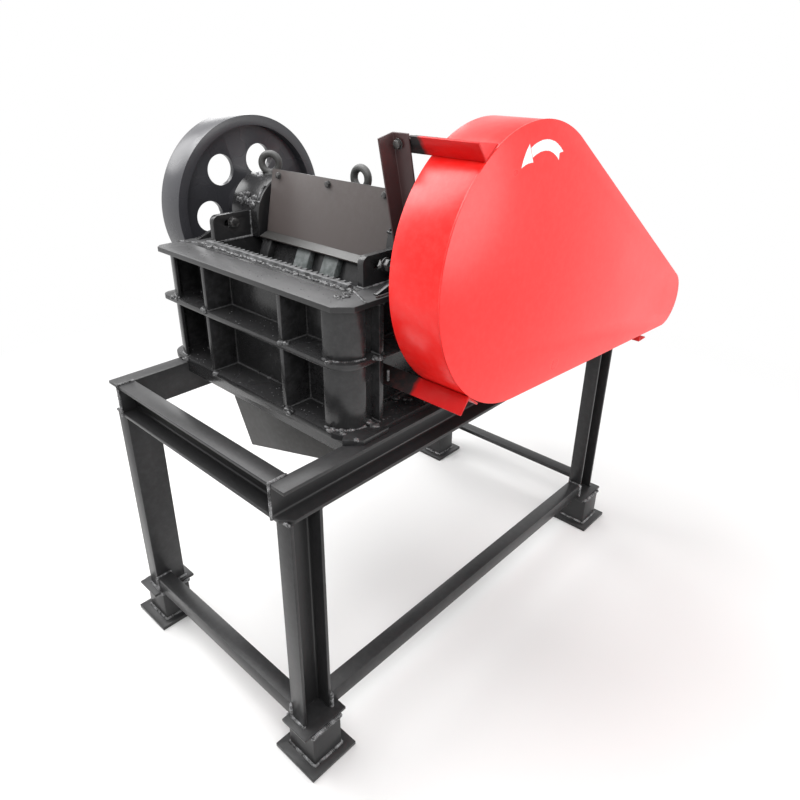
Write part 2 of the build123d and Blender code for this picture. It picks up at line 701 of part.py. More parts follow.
def swing_jaw():
    """Pitman: barrel, front plate, toggle socket and the ribs behind the plate."""
    lap = jaw_back + PITMAN_LAP
    top = body_top + PITMAN_PROUD
    toggle_x, toggle_z = toggle_front()
    socket_wall = TOGGLE_PLATE / 2 + TOGGLE_SOCKET
    socket = outline(
        jaw_line(toggle_z - socket_wall, lap), (toggle_x, toggle_z - socket_wall),
        (toggle_x, toggle_z + socket_wall), jaw_line(toggle_z + socket_wall, lap))
    rib = outline(
        jaw_line(jaw_foot[1] + PITMAN_RIB_FOOT, lap),
        (toggle_x - PITMAN_LAP, toggle_z + socket_wall - PITMAN_LAP),
        (shaft_x + BARREL_RADIUS - PITMAN_LAP, jaw_centre_z - PITMAN_RIB_DROP), (shaft_x, jaw_centre_z),
        jaw_line(top, lap))
    barrel = Pos(shaft_x, jaw_centre_z) * Circle(BARREL_RADIUS)
    jaw = from_side(pitman_plate(), *jaw_span) + from_side(barrel, *jaw_span)
    half = toggle_width / 2 + PITMAN_RIB_END
    jaw += from_side(socket, body_middle - half, body_middle + half)
    for y in (-half, -half / 3, half / 3, half):
        middle = body_middle + y
        jaw += from_side(rib, middle - PITMAN_RIB / 2, middle + PITMAN_RIB / 2)
    room = TOGGLE_PLATE / 2 + SEAT_CLEARANCE
    groove = Circle(room) + Pos(TOGGLE_PLATE / 2, 0) * Rectangle(TOGGLE_PLATE, 2 * room)
    groove = Pos(toggle_x, toggle_z) * Rot(0, 0, TOGGLE_RISE) * groove
    jaw -= from_side(groove, body_middle - half - PITMAN_RIB, body_middle + half + PITMAN_RIB)
    jaw -= across(shaft_x, jaw_centre_z, ECCENTRIC_RADIUS + RUNNING_CLEARANCE, *jaw_span)
    return jaw


def swing_jaw_plate():
    """Corrugated plate on the pitman, below its clamps."""
    low = jaw_line(jaw_foot[1], JAW_PLATE)
    length = (clamp_top - CLAMP_HEIGHT - CLAMP_GAP - jaw_foot[1]) / cos(radians(NIP_ANGLE))
    section = toothed_section(jaw_width, JAW_PLATE)
    up = (sin(radians(NIP_ANGLE)), 0, cos(radians(NIP_ANGLE)))
    place = Plane(origin=(low[0], jaw_span[0], low[1]), x_dir=(0, 1, 0), z_dir=up)
    return extrude(place * section, amount=length - JAW_PLATE * tan(radians(NIP_ANGLE)), dir=up)


def jaw_clamp_blocks():
    """Blocks that hold the swing jaw plate's upper edge."""
    foot = clamp_top - CLAMP_HEIGHT
    front = JAW_PLATE - CLAMP_THICKNESS
    shape = outline(jaw_line(foot, front), jaw_line(foot, JAW_PLATE), jaw_line(clamp_top, JAW_PLATE),
                    jaw_line(clamp_top, front + CLAMP_BEVEL))
    outer = jaw_width / 2 - CLAMP_END
    places = (-outer, -CLAMP_INNER, CLAMP_INNER, outer)
    blocks = []
    for place in places:
        middle = body_middle + place
        low, high = middle - CLAMP_WIDTH / 2, middle + CLAMP_WIDTH / 2
        blocks.append(from_side(shape, max(jaw_span[0], low), min(jaw_span[1], high)))
    return blocks


def cover_plate():
    """Folded sheet over the pitman, on three brackets that stand on the barrel."""
    lip, fold, top = from_shaft(COVER_LIP), from_shaft(COVER_FOLD), from_shaft(COVER_TOP)
    slope = (top[0] - fold[0]) / (top[1] - fold[1])
    sheet = outline(
        lip, fold, top, (top[0] + COVER_SHEET, top[1] - slope * COVER_SHEET),
        (fold[0] + COVER_SHEET, fold[1] - COVER_SHEET), (lip[0] + COVER_SHEET / 3, lip[1] - COVER_SHEET))
    cover = from_side(sheet, *jaw_span)
    low, high = fold[1] + COVER_BRACKET_FOOT, top[1] - COVER_BRACKET_DROP
    sheet_x = fold[0] + COVER_SHEET / 2
    barrel_top = jaw_centre_z + BARREL_RADIUS - COVER_BRACKET_DROP
    brace = outline(
        (sheet_x + slope * (low - fold[1]), low), (sheet_x + slope * (high - fold[1]), high),
        (top[0] + COVER_BRACKET_WIDTH, high), (shaft_x - COVER_BRACKET, barrel_top),
        (shaft_x - COVER_BRACKET, low))
    outer = jaw_width / 2 - COVER_BRACKET_END
    for y in (-outer, 0, outer):
        side = body_middle + y - COVER_BRACKET / 2
        cover += from_side(brace, side, side + COVER_BRACKET)
    return cover - across(shaft_x, jaw_centre_z, BARREL_RADIUS + BARREL_SEAT, *jaw_span)


def lifting_eye(y, foot, turn):
    """Forged eye bolt above the shaft, with its collar, its ring turned about the upright axis."""
    section = Plane.XZ * Pos(EYE_RING, 0) * RegularPolygon(EYE_WIRE, EYE_SIDES)
    ring = Pos(shaft_x, y, foot + eye_rise) * Rot(0, 0, turn) * Rot(0, 90, 0) * revolve(section, axis=Axis.Z)
    return Pos(shaft_x, y, foot + EYE_COLLAR_HEIGHT / 2) * Cylinder(EYE_COLLAR, EYE_COLLAR_HEIGHT) + ring


def lifting_eyes():
    """Eye bolts on the flat seats of both bearing housings."""
    return [lifting_eye((low + high) / 2, housing_eye_foot, EYE_TURN) for low, high in housing_span]


def lifting_eye_jaw():
    """Eye bolt on its boss on top of the pitman's barrel."""
    y = body_middle + JAW_EYE_OFFSET
    boss = Pos(shaft_x, y, jaw_eye_foot - EYE_BOSS_HEIGHT) * Cylinder(EYE_BOSS, 2 * EYE_BOSS_HEIGHT)
    boss -= across(shaft_x, jaw_centre_z, BARREL_RADIUS + BARREL_SEAT, *jaw_span)
    return boss + lifting_eye(y, jaw_eye_foot, 0)


def tension_rod():
    """Rod from a lug under the pitman through the rear wall, with its spring, washers and nut."""
    z = STAND_HEIGHT + ROD_HEIGHT
    start = jaw_line(z, jaw_back + PITMAN_PLATE / 2)[0]
    seat = wall_rear + 2 * THROW + SPRING_GAP
    washers = (seat, seat + SPRING_WASHER + SPRING_LENGTH)
    nut_foot = washers[1] + SPRING_WASHER

    def round_x(radius, x0, x1):
        return from_front(Pos(body_middle, z) * Circle(radius), x0, x1)

    rod = round_x(ROD_RADIUS, start, nut_foot + ROD_TAIL)
    for x in washers:
        rod += round_x(SPRING_RADIUS + SPRING_WASHER, x, x + SPRING_WASHER)
    rod += from_front(Pos(body_middle, z) * RegularPolygon(ROD_NUT, 6), nut_foot, nut_foot + ROD_NUT)
    return rod - from_side(pitman_plate(), *jaw_span)


def discharge_chute():
    """Sheet hopper under the body, its mouth cut on a slope."""
    low, high = side_outer[0] + CHUTE_SIDE_INSET, far_back - CHUTE_BEAM_GAP
    front = wall_front + END_WALL - CHUTE_SHEET - CHUTE_FRONT_INSET
    drop = CHUTE_DROP + CHUTE_SPARE
    foot = STAND_HEIGHT - drop

    def sides(inset):
        front_shift = inset / cos(radians(CHUTE_FRONT_LEAN))
        rear_shift = inset / cos(radians(CHUTE_REAR_LEAN))
        return outline(
            (front + front_shift, STAND_HEIGHT), (CHUTE_REAR - rear_shift, STAND_HEIGHT),
            (CHUTE_REAR - rear_shift - drop * tan(radians(CHUTE_REAR_LEAN)), foot),
            (front + front_shift + drop * tan(radians(CHUTE_FRONT_LEAN)), foot))

    room = from_side(sides(CHUTE_SHEET), low + CHUTE_SHEET, high - CHUTE_SHEET)
    chute = from_side(sides(0), low, high) - room
    mouth = STAND_HEIGHT - CHUTE_DROP
    rise = (high - low) * tan(radians(CHUTE_MOUTH_SLOPE))
    below = outline((low, foot), (high, foot), (high, mouth), (low, mouth + rise))
    return chute - from_front(below, wall_front, CHUTE_REAR + 1)


def eccentric_shaft():
    """Shaft with its journals, its thinner ends and the eccentric between the housings."""
    low, high = housing_span[0][0] - CAP_DEPTH, housing_span[1][1] + CAP_DEPTH
    shaft = across(shaft_x, shaft_z, SHAFT_END_RADIUS, driven_near - SHAFT_PROUD, flywheel_far + SHAFT_PROUD)
    shaft += across(shaft_x, shaft_z, JOURNAL_RADIUS, low, high)
    low, high = housing_span[0][1] + SHAFT_SHOULDER, housing_span[1][0] - SHAFT_SHOULDER
    thick = across(shaft_x, jaw_centre_z, ECCENTRIC_RADIUS, low, high)
    return shaft + thick


def wheel_holes(y0, y1):
    """The round holes through a wheel's web."""
    holes = []
    for hole in range(WHEEL_HOLES):
        at = radians(WHEEL_HOLE_ANGLE + 360 / WHEEL_HOLES * hole)
        holes.append(across(shaft_x + WHEEL_HOLE_CIRCLE * cos(at), shaft_z + WHEEL_HOLE_CIRCLE * sin(at),
                            WHEEL_HOLE_RADIUS, y0, y1))
    return holes


def wheel_body(width, web_near, hub_near, hub_far):
    """Wheel turned with rim, web and hub, its near face at Y 0."""
    rim = Pos(WHEEL_RADIUS - WHEEL_RIM / 2, width / 2) * Rectangle(WHEEL_RIM, width)
    web = Pos(WHEEL_RADIUS / 2, web_near + WHEEL_WEB / 2) * Rectangle(WHEEL_RADIUS - 2, WHEEL_WEB)
    hub = Pos(WHEEL_HUB / 2, (hub_near + hub_far) / 2) * Rectangle(WHEEL_HUB, hub_far - hub_near)
    bore = Pos(SHAFT_END_RADIUS / 2, width / 2) * Rectangle(SHAFT_END_RADIUS, 4 * width)
    return rim + web + hub - bore


def flywheel():
    """Plain flywheel with six holes in its web."""
    section = wheel_body(FLYWHEEL_WIDTH, FLYWHEEL_RECESS, -HUB_PROUD, FLYWHEEL_WIDTH)
    wheel = turned(section, shaft_x, shaft_z, flywheel_near)
    for hole in wheel_holes(flywheel_near - 1, flywheel_far + 1):
        wheel -= hole
    return wheel


def belt_places():
    """Middle of each belt, counted across the driven wheel."""
    first = DRIVEN_WIDTH / 2 - BELT_PITCH * (BELTS - 1) / 2
    return [first + BELT_PITCH * belt for belt in range(BELTS)]


def groove(radius, middle):
    """Section of one belt groove in a wheel of the given radius."""
    depth = BELT_DEPTH + GROOVE_SPARE
    top = BELT_TOP / 2 + GROOVE_CLEARANCE
    foot = top - depth * tan(radians(GROOVE_ANGLE))
    return outline((radius - depth, middle - foot), (radius, middle - top), (radius + 1, middle - top),
                   (radius + 1, middle + top), (radius, middle + top), (radius - depth, middle + foot))


def driven_wheel():
    """Grooved wheel at the belt end of the shaft."""
    web_near = (DRIVEN_WIDTH - WHEEL_WEB) / 2
    section = wheel_body(DRIVEN_WIDTH, web_near, 0, DRIVEN_WIDTH + HUB_PROUD)
    for middle in belt_places():
        section -= groove(WHEEL_RADIUS, middle)
    wheel = turned(section, shaft_x, shaft_z, driven_near)
    for hole in wheel_holes(driven_near - 1, driven_far + 1):
        wheel -= hole
    return wheel


def motor_pulley():
    """Grooved pulley on the motor shaft."""
    bore = MOTOR_SHAFT_RADIUS
    section = Pos((PULLEY_RADIUS + bore) / 2, DRIVEN_WIDTH / 2) * Rectangle(PULLEY_RADIUS - bore, DRIVEN_WIDTH)
    for middle in belt_places():
        section -= groove(PULLEY_RADIUS, middle)
    return turned(section, *motor_axis, driven_near)


def drive_belts():
    """Four V-belts round the driven wheel and the pulley."""
    path = loop((shaft_x, shaft_z), WHEEL_RADIUS, motor_axis, PULLEY_RADIUS).faces()[0].outer_wire()
    narrow = BELT_DEPTH * tan(radians(GROOVE_ANGLE))
    half = BELT_TOP / 2
    section = outline((-half, 0), (half, 0), (half - narrow, BELT_DEPTH), (narrow - half, BELT_DEPTH))
    belts = []
    for middle in belt_places():
        route = Plane.XZ.offset(-driven_near - middle) * path
        inwards = route @ 0
        towards = (shaft_x - inwards.X, 0, shaft_z - inwards.Z)
        start = Plane(origin=inwards, x_dir=(0, 1, 0), z_dir=route % 0)
        if start.y_dir.dot(Vector(*towards)) < 0:
            start = Plane(origin=inwards, x_dir=(0, -1, 0), z_dir=route % 0)
        belts.append(sweep(start * section, path=route))
    return belts


def belt_guard():
    """Sheet guard over the belt drive, open at the back."""
    outer = loop((shaft_x, shaft_z), GUARD_BIG_RADIUS, guard_tail, GUARD_SMALL_RADIUS)
    inner = loop((shaft_x, shaft_z), GUARD_BIG_RADIUS - GUARD_SHEET,
                 guard_tail, GUARD_SMALL_RADIUS - GUARD_SHEET)
    return from_side(outer, guard_near, guard_near + GUARD_DEPTH) - from_side(
        inner, guard_near + GUARD_SHEET, guard_near + GUARD_DEPTH + 1)


def on_rim(angle_at, y):
    """Point on the guard's round rim, and the ways outwards and round it there."""
    out = (cos(radians(angle_at)), 0, sin(radians(angle_at)))
    round_way = (-out[2], 0, out[0])
    corner = (shaft_x + GUARD_BIG_RADIUS * out[0], y, shaft_z + GUARD_BIG_RADIUS * out[2])
    return corner, out, round_way


def guard_arm():
    """Angle bar along the guard's rim, cut back where it passes behind the post."""
    corner, out, round_way = on_rim(ARM_ANGLE, guard_near)
    back = (-round_way[0], 0, -round_way[2])
    bar = angle(corner, out, back, post_y - ARM_END - guard_near)
    top_x, top_z = from_shaft(POST_TOP)
    behind = top_x + ANGLE_PLATE + SEAT_CLEARANCE
    low, high = top_z - 3 * ANGLE_SIZE, top_z + ANGLE_SIZE
    slope = tan(radians(POST_LEAN))
    room = outline((top_x - 2 * ANGLE_SIZE, low), (behind + slope * (top_z - low), low),
                   (behind + slope * (top_z - high), high), (top_x - 2 * ANGLE_SIZE, high))
    return bar - from_side(room, post_y - ANGLE_SIZE, post_y)


def guard_post():
    """Leaning angle bar that stands on the top stiffening plate."""
    lean = radians(POST_LEAN)
    down = (sin(lean), 0, -cos(lean))
    back_leg = (-cos(lean), 0, -sin(lean))
    top_x, top_z = from_shaft(POST_TOP)
    length = (top_z - body_top) / cos(lean) + ANGLE_SIZE
    corner = (top_x + ANGLE_PLATE, post_y + ANGLE_PLATE, top_z)
    post = angle(corner, (0, -1, 0), back_leg, length)
    floor = block(0, shaft_x, 0, body_middle, 0, body_top)
    return post - floor


def guard_bracket():
    """Angle bar from the side plate out under the guard's front rim."""
    corner, out, round_way = on_rim(BRACKET_ANGLE, side_outer[0])
    return angle(corner, out, round_way, side_outer[0] - guard_near)


def rear_bracket():
    """Short angle on the near beam, under the guard's tail."""
    low, high = guard_near, near_back
    front = motor_x - REAR_BRACKET_BACK
    flat = block(front, front + ANGLE_SIZE, low, high, STAND_HEIGHT, STAND_HEIGHT + ANGLE_PLATE)
    upright = block(front, front + ANGLE_PLATE, low, high, STAND_HEIGHT, STAND_HEIGHT + ANGLE_SIZE)
    room = loop((shaft_x, shaft_z), GUARD_BIG_RADIUS + SEAT_CLEARANCE,
                guard_tail, GUARD_SMALL_RADIUS + SEAT_CLEARANCE)
    return flat + upright - from_side(room, low - 1, high + 1)


def motor():
    """Foot-mounted motor: finned body, end shields, fan cowl, feet, terminal box and shaft."""
    x, z = motor_axis
    front = MOTOR_FRONT - near_back
    rear = front + MOTOR_BODY
    fins = Circle(MOTOR_RADIUS)
    for fin in range(MOTOR_FINS):
        turn = Rot(0, 0, 360 / MOTOR_FINS * fin)
        fins += turn * (Pos(MOTOR_RADIUS, 0) * Rectangle(2 * MOTOR_FIN, MOTOR_FIN_WIDTH))
    body = from_side(Pos(x, z) * fins, front + MOTOR_FLANGE, rear)
    body += across(x, z, MOTOR_RADIUS + MOTOR_SHIELD_PROUD, front + MOTOR_BOSS, front + MOTOR_FLANGE)
    body += across(x, z, MOTOR_BOSS_RADIUS, front, front + MOTOR_BOSS)
    body += across(x, z, MOTOR_RADIUS + MOTOR_FIN, rear, rear + MOTOR_COWL)
    body += across(x, z, MOTOR_SHAFT_RADIUS, driven_near, front)
    foot_near = front + MOTOR_FOOT_START
    for side in (-1, 1):
        pad = x + side * FOOT_SPREAD
        body += block(pad - FOOT_PAD / 2, pad + FOOT_PAD / 2, foot_near, foot_near + MOTOR_FOOT_LENGTH,
                      STAND_HEIGHT, STAND_HEIGHT + FOOT_PAD_HEIGHT)
        web_x, inner_x = pad + side * FOOT_WEB_THICKNESS, x + side * FOOT_WEB_REACH
        web_top = z - FOOT_WEB_REACH
        web = outline((pad - side * FOOT_PAD / 2, STAND_HEIGHT), (web_x, STAND_HEIGHT), (web_x, web_top),
                      (inner_x, web_top), (inner_x, STAND_HEIGHT + FOOT_WEB_HEIGHT))
        body += from_side(web, foot_near + FOOT_WEB_INSET, foot_near + MOTOR_FOOT_LENGTH - FOOT_WEB_INSET)
    box_near = front + BOX_START
    box = block(x - BOX_WIDTH / 2, x + BOX_WIDTH / 2, box_near, box_near + BOX_LENGTH,
                z + MOTOR_RADIUS - BOX_SEAT, z + MOTOR_RADIUS + BOX_HEIGHT)
    return body + box


nodes = {
    "front_wall": front_wall(),
    "rear_wall": rear_wall(),
    "base_stiffener": base_stiffener(),
    "middle_stiffener": middle_stiffener(),
    "top_stiffener": top_stiffener(),
    "front_ribs": front_ribs(),
    "rear_ribs": rear_ribs(),
    "corner_columns": corner_columns(),
    "side_flanges": side_flanges(),
    "housing_gussets": housing_gussets(),
    "fixed_jaw_plate": fixed_jaw_plate(),
    "cheek_liners": cheek_liners(),
    "toggle_seat": toggle_seat(),
    "discharge_chute": discharge_chute(),
    "lifting_eyes": lifting_eyes(),
    "swing_jaw": swing_jaw(),
    "swing_jaw_plate": swing_jaw_plate(),
    "jaw_clamp_blocks": jaw_clamp_blocks(),
    "cover_plate": cover_plate(),
    "lifting_eye_jaw": lifting_eye_jaw(),
    "toggle_plate": toggle_plate(),
    "tension_rod": tension_rod(),
    "eccentric_shaft": eccentric_shaft(),
    "flywheel": flywheel(),
    "driven_wheel": driven_wheel(),
    "belt_guard": belt_guard(),
    "guard_post": guard_post(),
    "guard_arm": guard_arm(),
    "guard_bracket": guard_bracket(),
    "rear_bracket": rear_bracket(),
    "motor": motor(),
    "motor_pulley": motor_pulley(),
    "drive_belts": drive_belts(),
    "motor_rail": motor_rail(),
    "tie_rail_front": end_rail(True),
    "tie_rail_rear": end_rail(False),
    "tie_rail_near": side_rail(),
    "beam_front": end_beam(True),
    "beam_rear": end_beam(False),
}
for side, near in (("near", True), ("far", False)):
    nodes["side_plate_" + side] = side_plate(near)
    nodes["bearing_housing_" + side] = bearing_housing(near)
    nodes["beam_" + side] = long_beam(near)
    for end, x in (("front", leg_x[0]), ("rear", leg_x[1])):
        place = end + "_" + side
        nodes["leg_" + place] = stand_leg(x, near)
        nodes["foot_" + place] = stand_foot(x, FOOT_SIZE / 2 + (0 if near else FOOT_PITCH_Y))

os.makedirs("parts", exist_ok=True)
for name, shape in nodes.items():
    pieces = shape if isinstance(shape, list) else [shape]
    placed = Compound([solid for piece in pieces for solid in (to_origin * piece).solids()])
    export_step(placed if len(placed.solids()) > 1 else placed.solids()[0], "parts/" + name + ".step")
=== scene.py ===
"""Paint, welds, fasteners, flywheel, guard and stage for a jaw crusher on its welded stand."""

import json
import math
import random

import bmesh
import bpy
from mathutils import Matrix, Vector


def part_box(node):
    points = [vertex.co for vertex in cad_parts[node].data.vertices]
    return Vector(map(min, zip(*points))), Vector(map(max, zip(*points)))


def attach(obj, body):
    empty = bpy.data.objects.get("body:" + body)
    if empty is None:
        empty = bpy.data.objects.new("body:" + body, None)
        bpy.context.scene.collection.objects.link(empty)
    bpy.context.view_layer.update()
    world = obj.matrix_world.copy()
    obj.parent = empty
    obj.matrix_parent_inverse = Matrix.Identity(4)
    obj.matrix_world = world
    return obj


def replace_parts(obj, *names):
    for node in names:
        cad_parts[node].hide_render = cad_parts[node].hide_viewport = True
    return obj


bl_info = {
    "name": "Jaw Crusher Finish",
    "version": (1, 0, 0),
    "blender": (4, 5, 0),
    "location": "View3D > Sidebar > Crusher",
    "description": "Finishes a jaw crusher: rounded plates, welds, fasteners, flywheel, guard and paint",
    "category": "Object",
}

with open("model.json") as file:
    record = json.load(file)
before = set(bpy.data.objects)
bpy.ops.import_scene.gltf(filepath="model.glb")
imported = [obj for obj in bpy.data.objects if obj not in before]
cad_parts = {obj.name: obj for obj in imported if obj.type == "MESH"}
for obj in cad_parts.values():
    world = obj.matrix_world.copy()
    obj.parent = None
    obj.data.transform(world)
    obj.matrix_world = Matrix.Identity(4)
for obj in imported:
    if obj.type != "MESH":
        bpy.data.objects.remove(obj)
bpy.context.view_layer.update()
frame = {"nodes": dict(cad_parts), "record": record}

BODY_OF = {
    node: body
    for body, nodes in frame["record"]["behaviour"]["bodies"].items()
    for node in nodes
}
UP = Vector((0, 0, 1))
ALONG_Y = Vector((0, 1, 0))


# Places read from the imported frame

def low(node):
    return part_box(node)[0]


def high(node):
    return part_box(node)[1]


def middle(node):
    return (low(node) + high(node)) / 2


PLATE = high("middle_stiffener").z - low("middle_stiffener").z
BASE_TOP = high("base_stiffener").z
MIDDLE_FOOT = low("middle_stiffener").z
MIDDLE_TOP = high("middle_stiffener").z
TOP_FOOT = low("top_stiffener").z
TOP = high("top_stiffener").z
BAYS = ((BASE_TOP, MIDDLE_FOOT), (MIDDLE_TOP, TOP_FOOT))
WALL_FRONT = low("front_wall").x
WALL_REAR = high("rear_wall").x
SIDE_NEAR = low("side_plate_near").y
SIDE_FAR = high("side_plate_far").y
CHEEK_TOP = high("side_plate_near").z
RIB_PLACES = (low("front_ribs").y + PLATE / 2, high("front_ribs").y - PLATE / 2)
FLANGE_PLACES = (low("side_flanges").x + PLATE / 2, high("side_flanges").x - PLATE / 2)
COLUMN_RADIUS = 0.06
COLUMN_X = low("corner_columns").x + COLUMN_RADIUS
COLUMNS = ((COLUMN_X, low("corner_columns").y + COLUMN_RADIUS, -1),
           (COLUMN_X, high("corner_columns").y - COLUMN_RADIUS, 1))

SHAFT = Vector((middle("bearing_housing_near").x, 0, high("flywheel").z / 2 + low("flywheel").z / 2))
HOUSING_FRONT = low("bearing_housing_near").x
HOUSING_RADIUS = middle("bearing_housing_near").x - HOUSING_FRONT
MOTOR_AXIS = Vector((middle("motor_pulley").x, 0, middle("motor_pulley").z))
HOUSINGS = ("bearing_housing_near", "bearing_housing_far")
SIDE_PLATE = high("side_plate_near").y - SIDE_NEAR
SIDE_REACH = SIDE_NEAR - low("top_stiffener").y
HOUSING_REACH = SIDE_NEAR - low("bearing_housing_near").y
GUARD_FACE = low("belt_guard").y
GUARD_BACK = high("belt_guard").y

STAND_NODES = [node for node in BODY_OF
               if node.startswith(("foot_", "leg_", "beam_", "tie_rail_", "motor_rail"))]
PLATE_NODES = ["side_plate_near", "side_plate_far", "front_wall", "rear_wall", "base_stiffener",
               "middle_stiffener", "front_ribs", "rear_ribs", "corner_columns", "side_flanges",
               "housing_gussets", "toggle_seat", "swing_jaw", "toggle_plate", *HOUSINGS]


# Sizes and places of what is added, in metres and degrees

MERGE_REACH = 0.00001
FLAT_ANGLE = 0.6
SQUARE = 0.9
ON_AXIS = 0.001

# Edges and coats
CLAMP_EDGE = 0.0018
DARK_CLAMP = 0.16
# Faces of the cover that look up and forward, which are given painted shade
LIP_FACING = (-0.1, 0.4)
OVERSPRAY_REACH = 0.012
OVERSPRAY_DRIFT = 0.02

# Weld runs
RIPPLE_SIZE = 0.0042
RUN_ROUGHNESS = 0.0012
RUN_GRAIN = 0.005
SEAM_INSET = 0.011
SEAM_WANDER = 0.0015
SEAM_WAVES = 90
SEAM_STEPS = 12
FLANGE_BEAD = (-0.346, -0.2965, 0.84, 0.863)
CHEEK_FROM_LINER = 0.004
END_SEAM_SLANT = -0.03
HOUSING_SEAM = 156
HOUSING_SEAM_SWEEP = 32
HOUSING_SEAM_PROUD = 0.001
HOUSING_SEAM_INSET = 0.006
HOUSING_SEAM_LENGTH = 0.05
FOOT_WELD = 1.35
FOOT_TOP = high("foot_front_near").z + 0.001
STUB = (0.04, 0.043)
FOOT_PLATE = 0.01
CAP_PLATE = 0.008

# Weld lumps and spatter
SEED = 7
LUMP_ROUGHNESS = 0.003
LUMP_GRAIN = 0.006
LUMP_RANGE = (0.6, 1.15)
TURNS = (0, 6)
TOOTH_LUMPS = 26
TOOTH_LUMP_INSET = 0.001
TOOTH_LUMP_SPREAD = (0.005, 0.008, 0.001)
TOOTH_LUMP_COUNT = 4
TOOTH_LUMP_SIZE = 0.0055
HOUSING_LUMPS = 22
HOUSING_LUMP_ANGLES = (147, 163)
HOUSING_LUMP_REACH = (0.258, 0.338)
HOUSING_LUMP_SIZE = 0.0085
# Each heap of lumps: its middle, its reach along each axis, how many and how large
LUMPS = (
    ((-0.458, -0.243, MIDDLE_TOP), (0.008, 0.008, 0.002), 6, 0.008),
    ((-0.387, -0.302, MIDDLE_TOP), (0.006, 0.006, 0.002), 5, 0.007),
    ((-0.465, -0.112, MIDDLE_TOP), (0.006, 0.008, 0.002), 5, 0.007),
    ((-0.4675, 0.175, MIDDLE_TOP), (0.005, 0.008, 0.002), 5, 0.007),
    ((-0.469, 0.299, MIDDLE_TOP), (0.005, 0.006, 0.002), 4, 0.007),
    ((-0.4746, 0.152, BASE_TOP), (0.004, 0.006, 0.002), 4, 0.006),
    ((-0.477, 0.2815, BASE_TOP), (0.003, 0.006, 0.002), 3, 0.006),
    ((-0.471, -0.126, BASE_TOP), (0.005, 0.008, 0.002), 6, 0.008),
    ((-0.463, -0.2505, BASE_TOP), (0.006, 0.006, 0.002), 5, 0.007),
    ((-0.394, -0.262, BASE_TOP), (0.012, 0.012, 0.002), 9, 0.009),
    ((-0.392, -0.3006, BASE_TOP), (0.008, 0.006, 0.002), 6, 0.008),
    ((-0.4555, -0.3135, 0.7515), (0.002, 0.002, 0.001), 4, 0.006),
    ((-0.408, -0.238, 1.022), (0.022, 0.010, 0.001), 12, 0.005),
    ((-0.440, -0.268, 0.7525), (0.018, 0.018, 0.001), 16, 0.007),
    ((-0.272, -0.251, BASE_TOP), (0.008, 0.008, 0.002), 5, 0.007),
    ((-0.2535, -0.2705, BASE_TOP), (0.006, 0.006, 0.002), 4, 0.006),
    ((-0.3985, 0.034, BASE_TOP), (0.003, 0.012, 0.002), 4, 0.006),
    ((-0.400, 0.067, BASE_TOP), (0.003, 0.010, 0.002), 3, 0.006),
    ((-0.4035, -0.279, 0.755), (0.010, 0.010, 0.004), 8, 0.009),
)
# Each field of spatter: from x, to x, from y, to y, its height and how many drops
SPATTER = (
    (-0.465, -0.405, -0.28, 0.34, TOP, 110),
    (-0.465, -0.405, -0.27, 0.34, MIDDLE_TOP, 70),
    (-0.466, -0.405, -0.285, 0.335, BASE_TOP, 90),
    (-0.37, -0.15, -0.29, -0.24, MIDDLE_TOP, 40),
    (-0.37, -0.15, -0.31, -0.24, BASE_TOP, 50),
)
DROP_SIZES = (0.0007, 0.0017)

# Bolts and nuts, their moulds for a thread of 1
HEAD_ACROSS = 1.6
HEAD_DEPTH = 0.62
NUT_DEPTH = 0.8
CROWN = 0.14
WASHER_RADIUS = 1.05
WASHER_THICKNESS = 0.18
STUD_RADIUS = 0.46
STUD_LENGTH = 1.75
THREAD_FOOT = 1.12
THREAD_RIDGES = 5
THREAD_PITCH = 0.135

# Places of the bolts, nuts and nipples
NEAR_SLOT_BOLT = (-0.3061, 1.0657)
FAR_SLOT_BOLT = (-0.298, 1.0635)
POST_BOLT = (-0.3375, -0.31, 1.3002)
POST_LEAN = 12.8
COVER_BOLT = (-0.2002, 1.1735)
COVER_BOLT_PLACES = (0.2115, 0.0315, -0.1485)
COVER_NORMAL = (-0.98, 0, 0.1987)
COVER_BOLT_TURN = 28
POST_BOLT_TURN = 0.4
SLOT_PLATE = 0.016
SLOT_NUT_TURNS = (0.3, 0.1)
SLOT_BOLT_TURNS = (0.5, 0.2)
CAP_CIRCLE = 0.0585
CAP_BOLTS = 6
CAP_START = 30
NIPPLE_BEARING = 113
NIPPLE_SIZE = 0.01
MOTOR_FOOT_X = 0.108
MOTOR_FOOT_Y = (-0.2675, -0.0915)
MOTOR_FOOT_TOP = 0.755
MOTOR_FOOT_TURN = 0.3
MOTOR_SHIELD_Y = -0.3395
MOTOR_SHIELD_CIRCLE = 0.106
MOTOR_SHIELD_BOLTS = 4
MOTOR_SHIELD_START = 45

# Flywheel
RIM_WIDTH = 0.082
RIM_THICKNESS = 0.025
WEB_DEPTH_NEAR = 0.029
WEB_DEPTH_FAR = 0.039
HUB_RADIUS = 0.062
BORE_RADIUS = 0.036
HOLES = 6
HOLE_CIRCLE = 0.123
HOLE_RADIUS = 0.0395
HOLE_START = 8
WHEEL_SIDES = 144
HOLE_SIDES = 48

# Belt guard and the arrow on it
GUARD_POINTS = 192
GUARD_TAIL_RADIUS = 0.077
GUARD_SHEET = 0.003
RIM_INSET = 0.0012
DENT_DEPTH = 9.0
ARROW_MIDDLE = (-0.139, 1.206)
ARROW_RADIUS = 0.0905
ARROW_WIDTH = 0.02
ARROW_TAIL = math.radians(47)
ARROW_NOTCH = math.radians(6)
ARROW_HEAD_START = math.radians(117)
ARROW_TIP = math.radians(141)
ARROW_HEAD_WIDTH = 0.038
ARROW_SHARP = 900.0
ARROW_END_SHARP = ARROW_SHARP / 15
ARROW_SPRAY = 0.003
ARROW_DEPTH = (0.002, 0.0005)

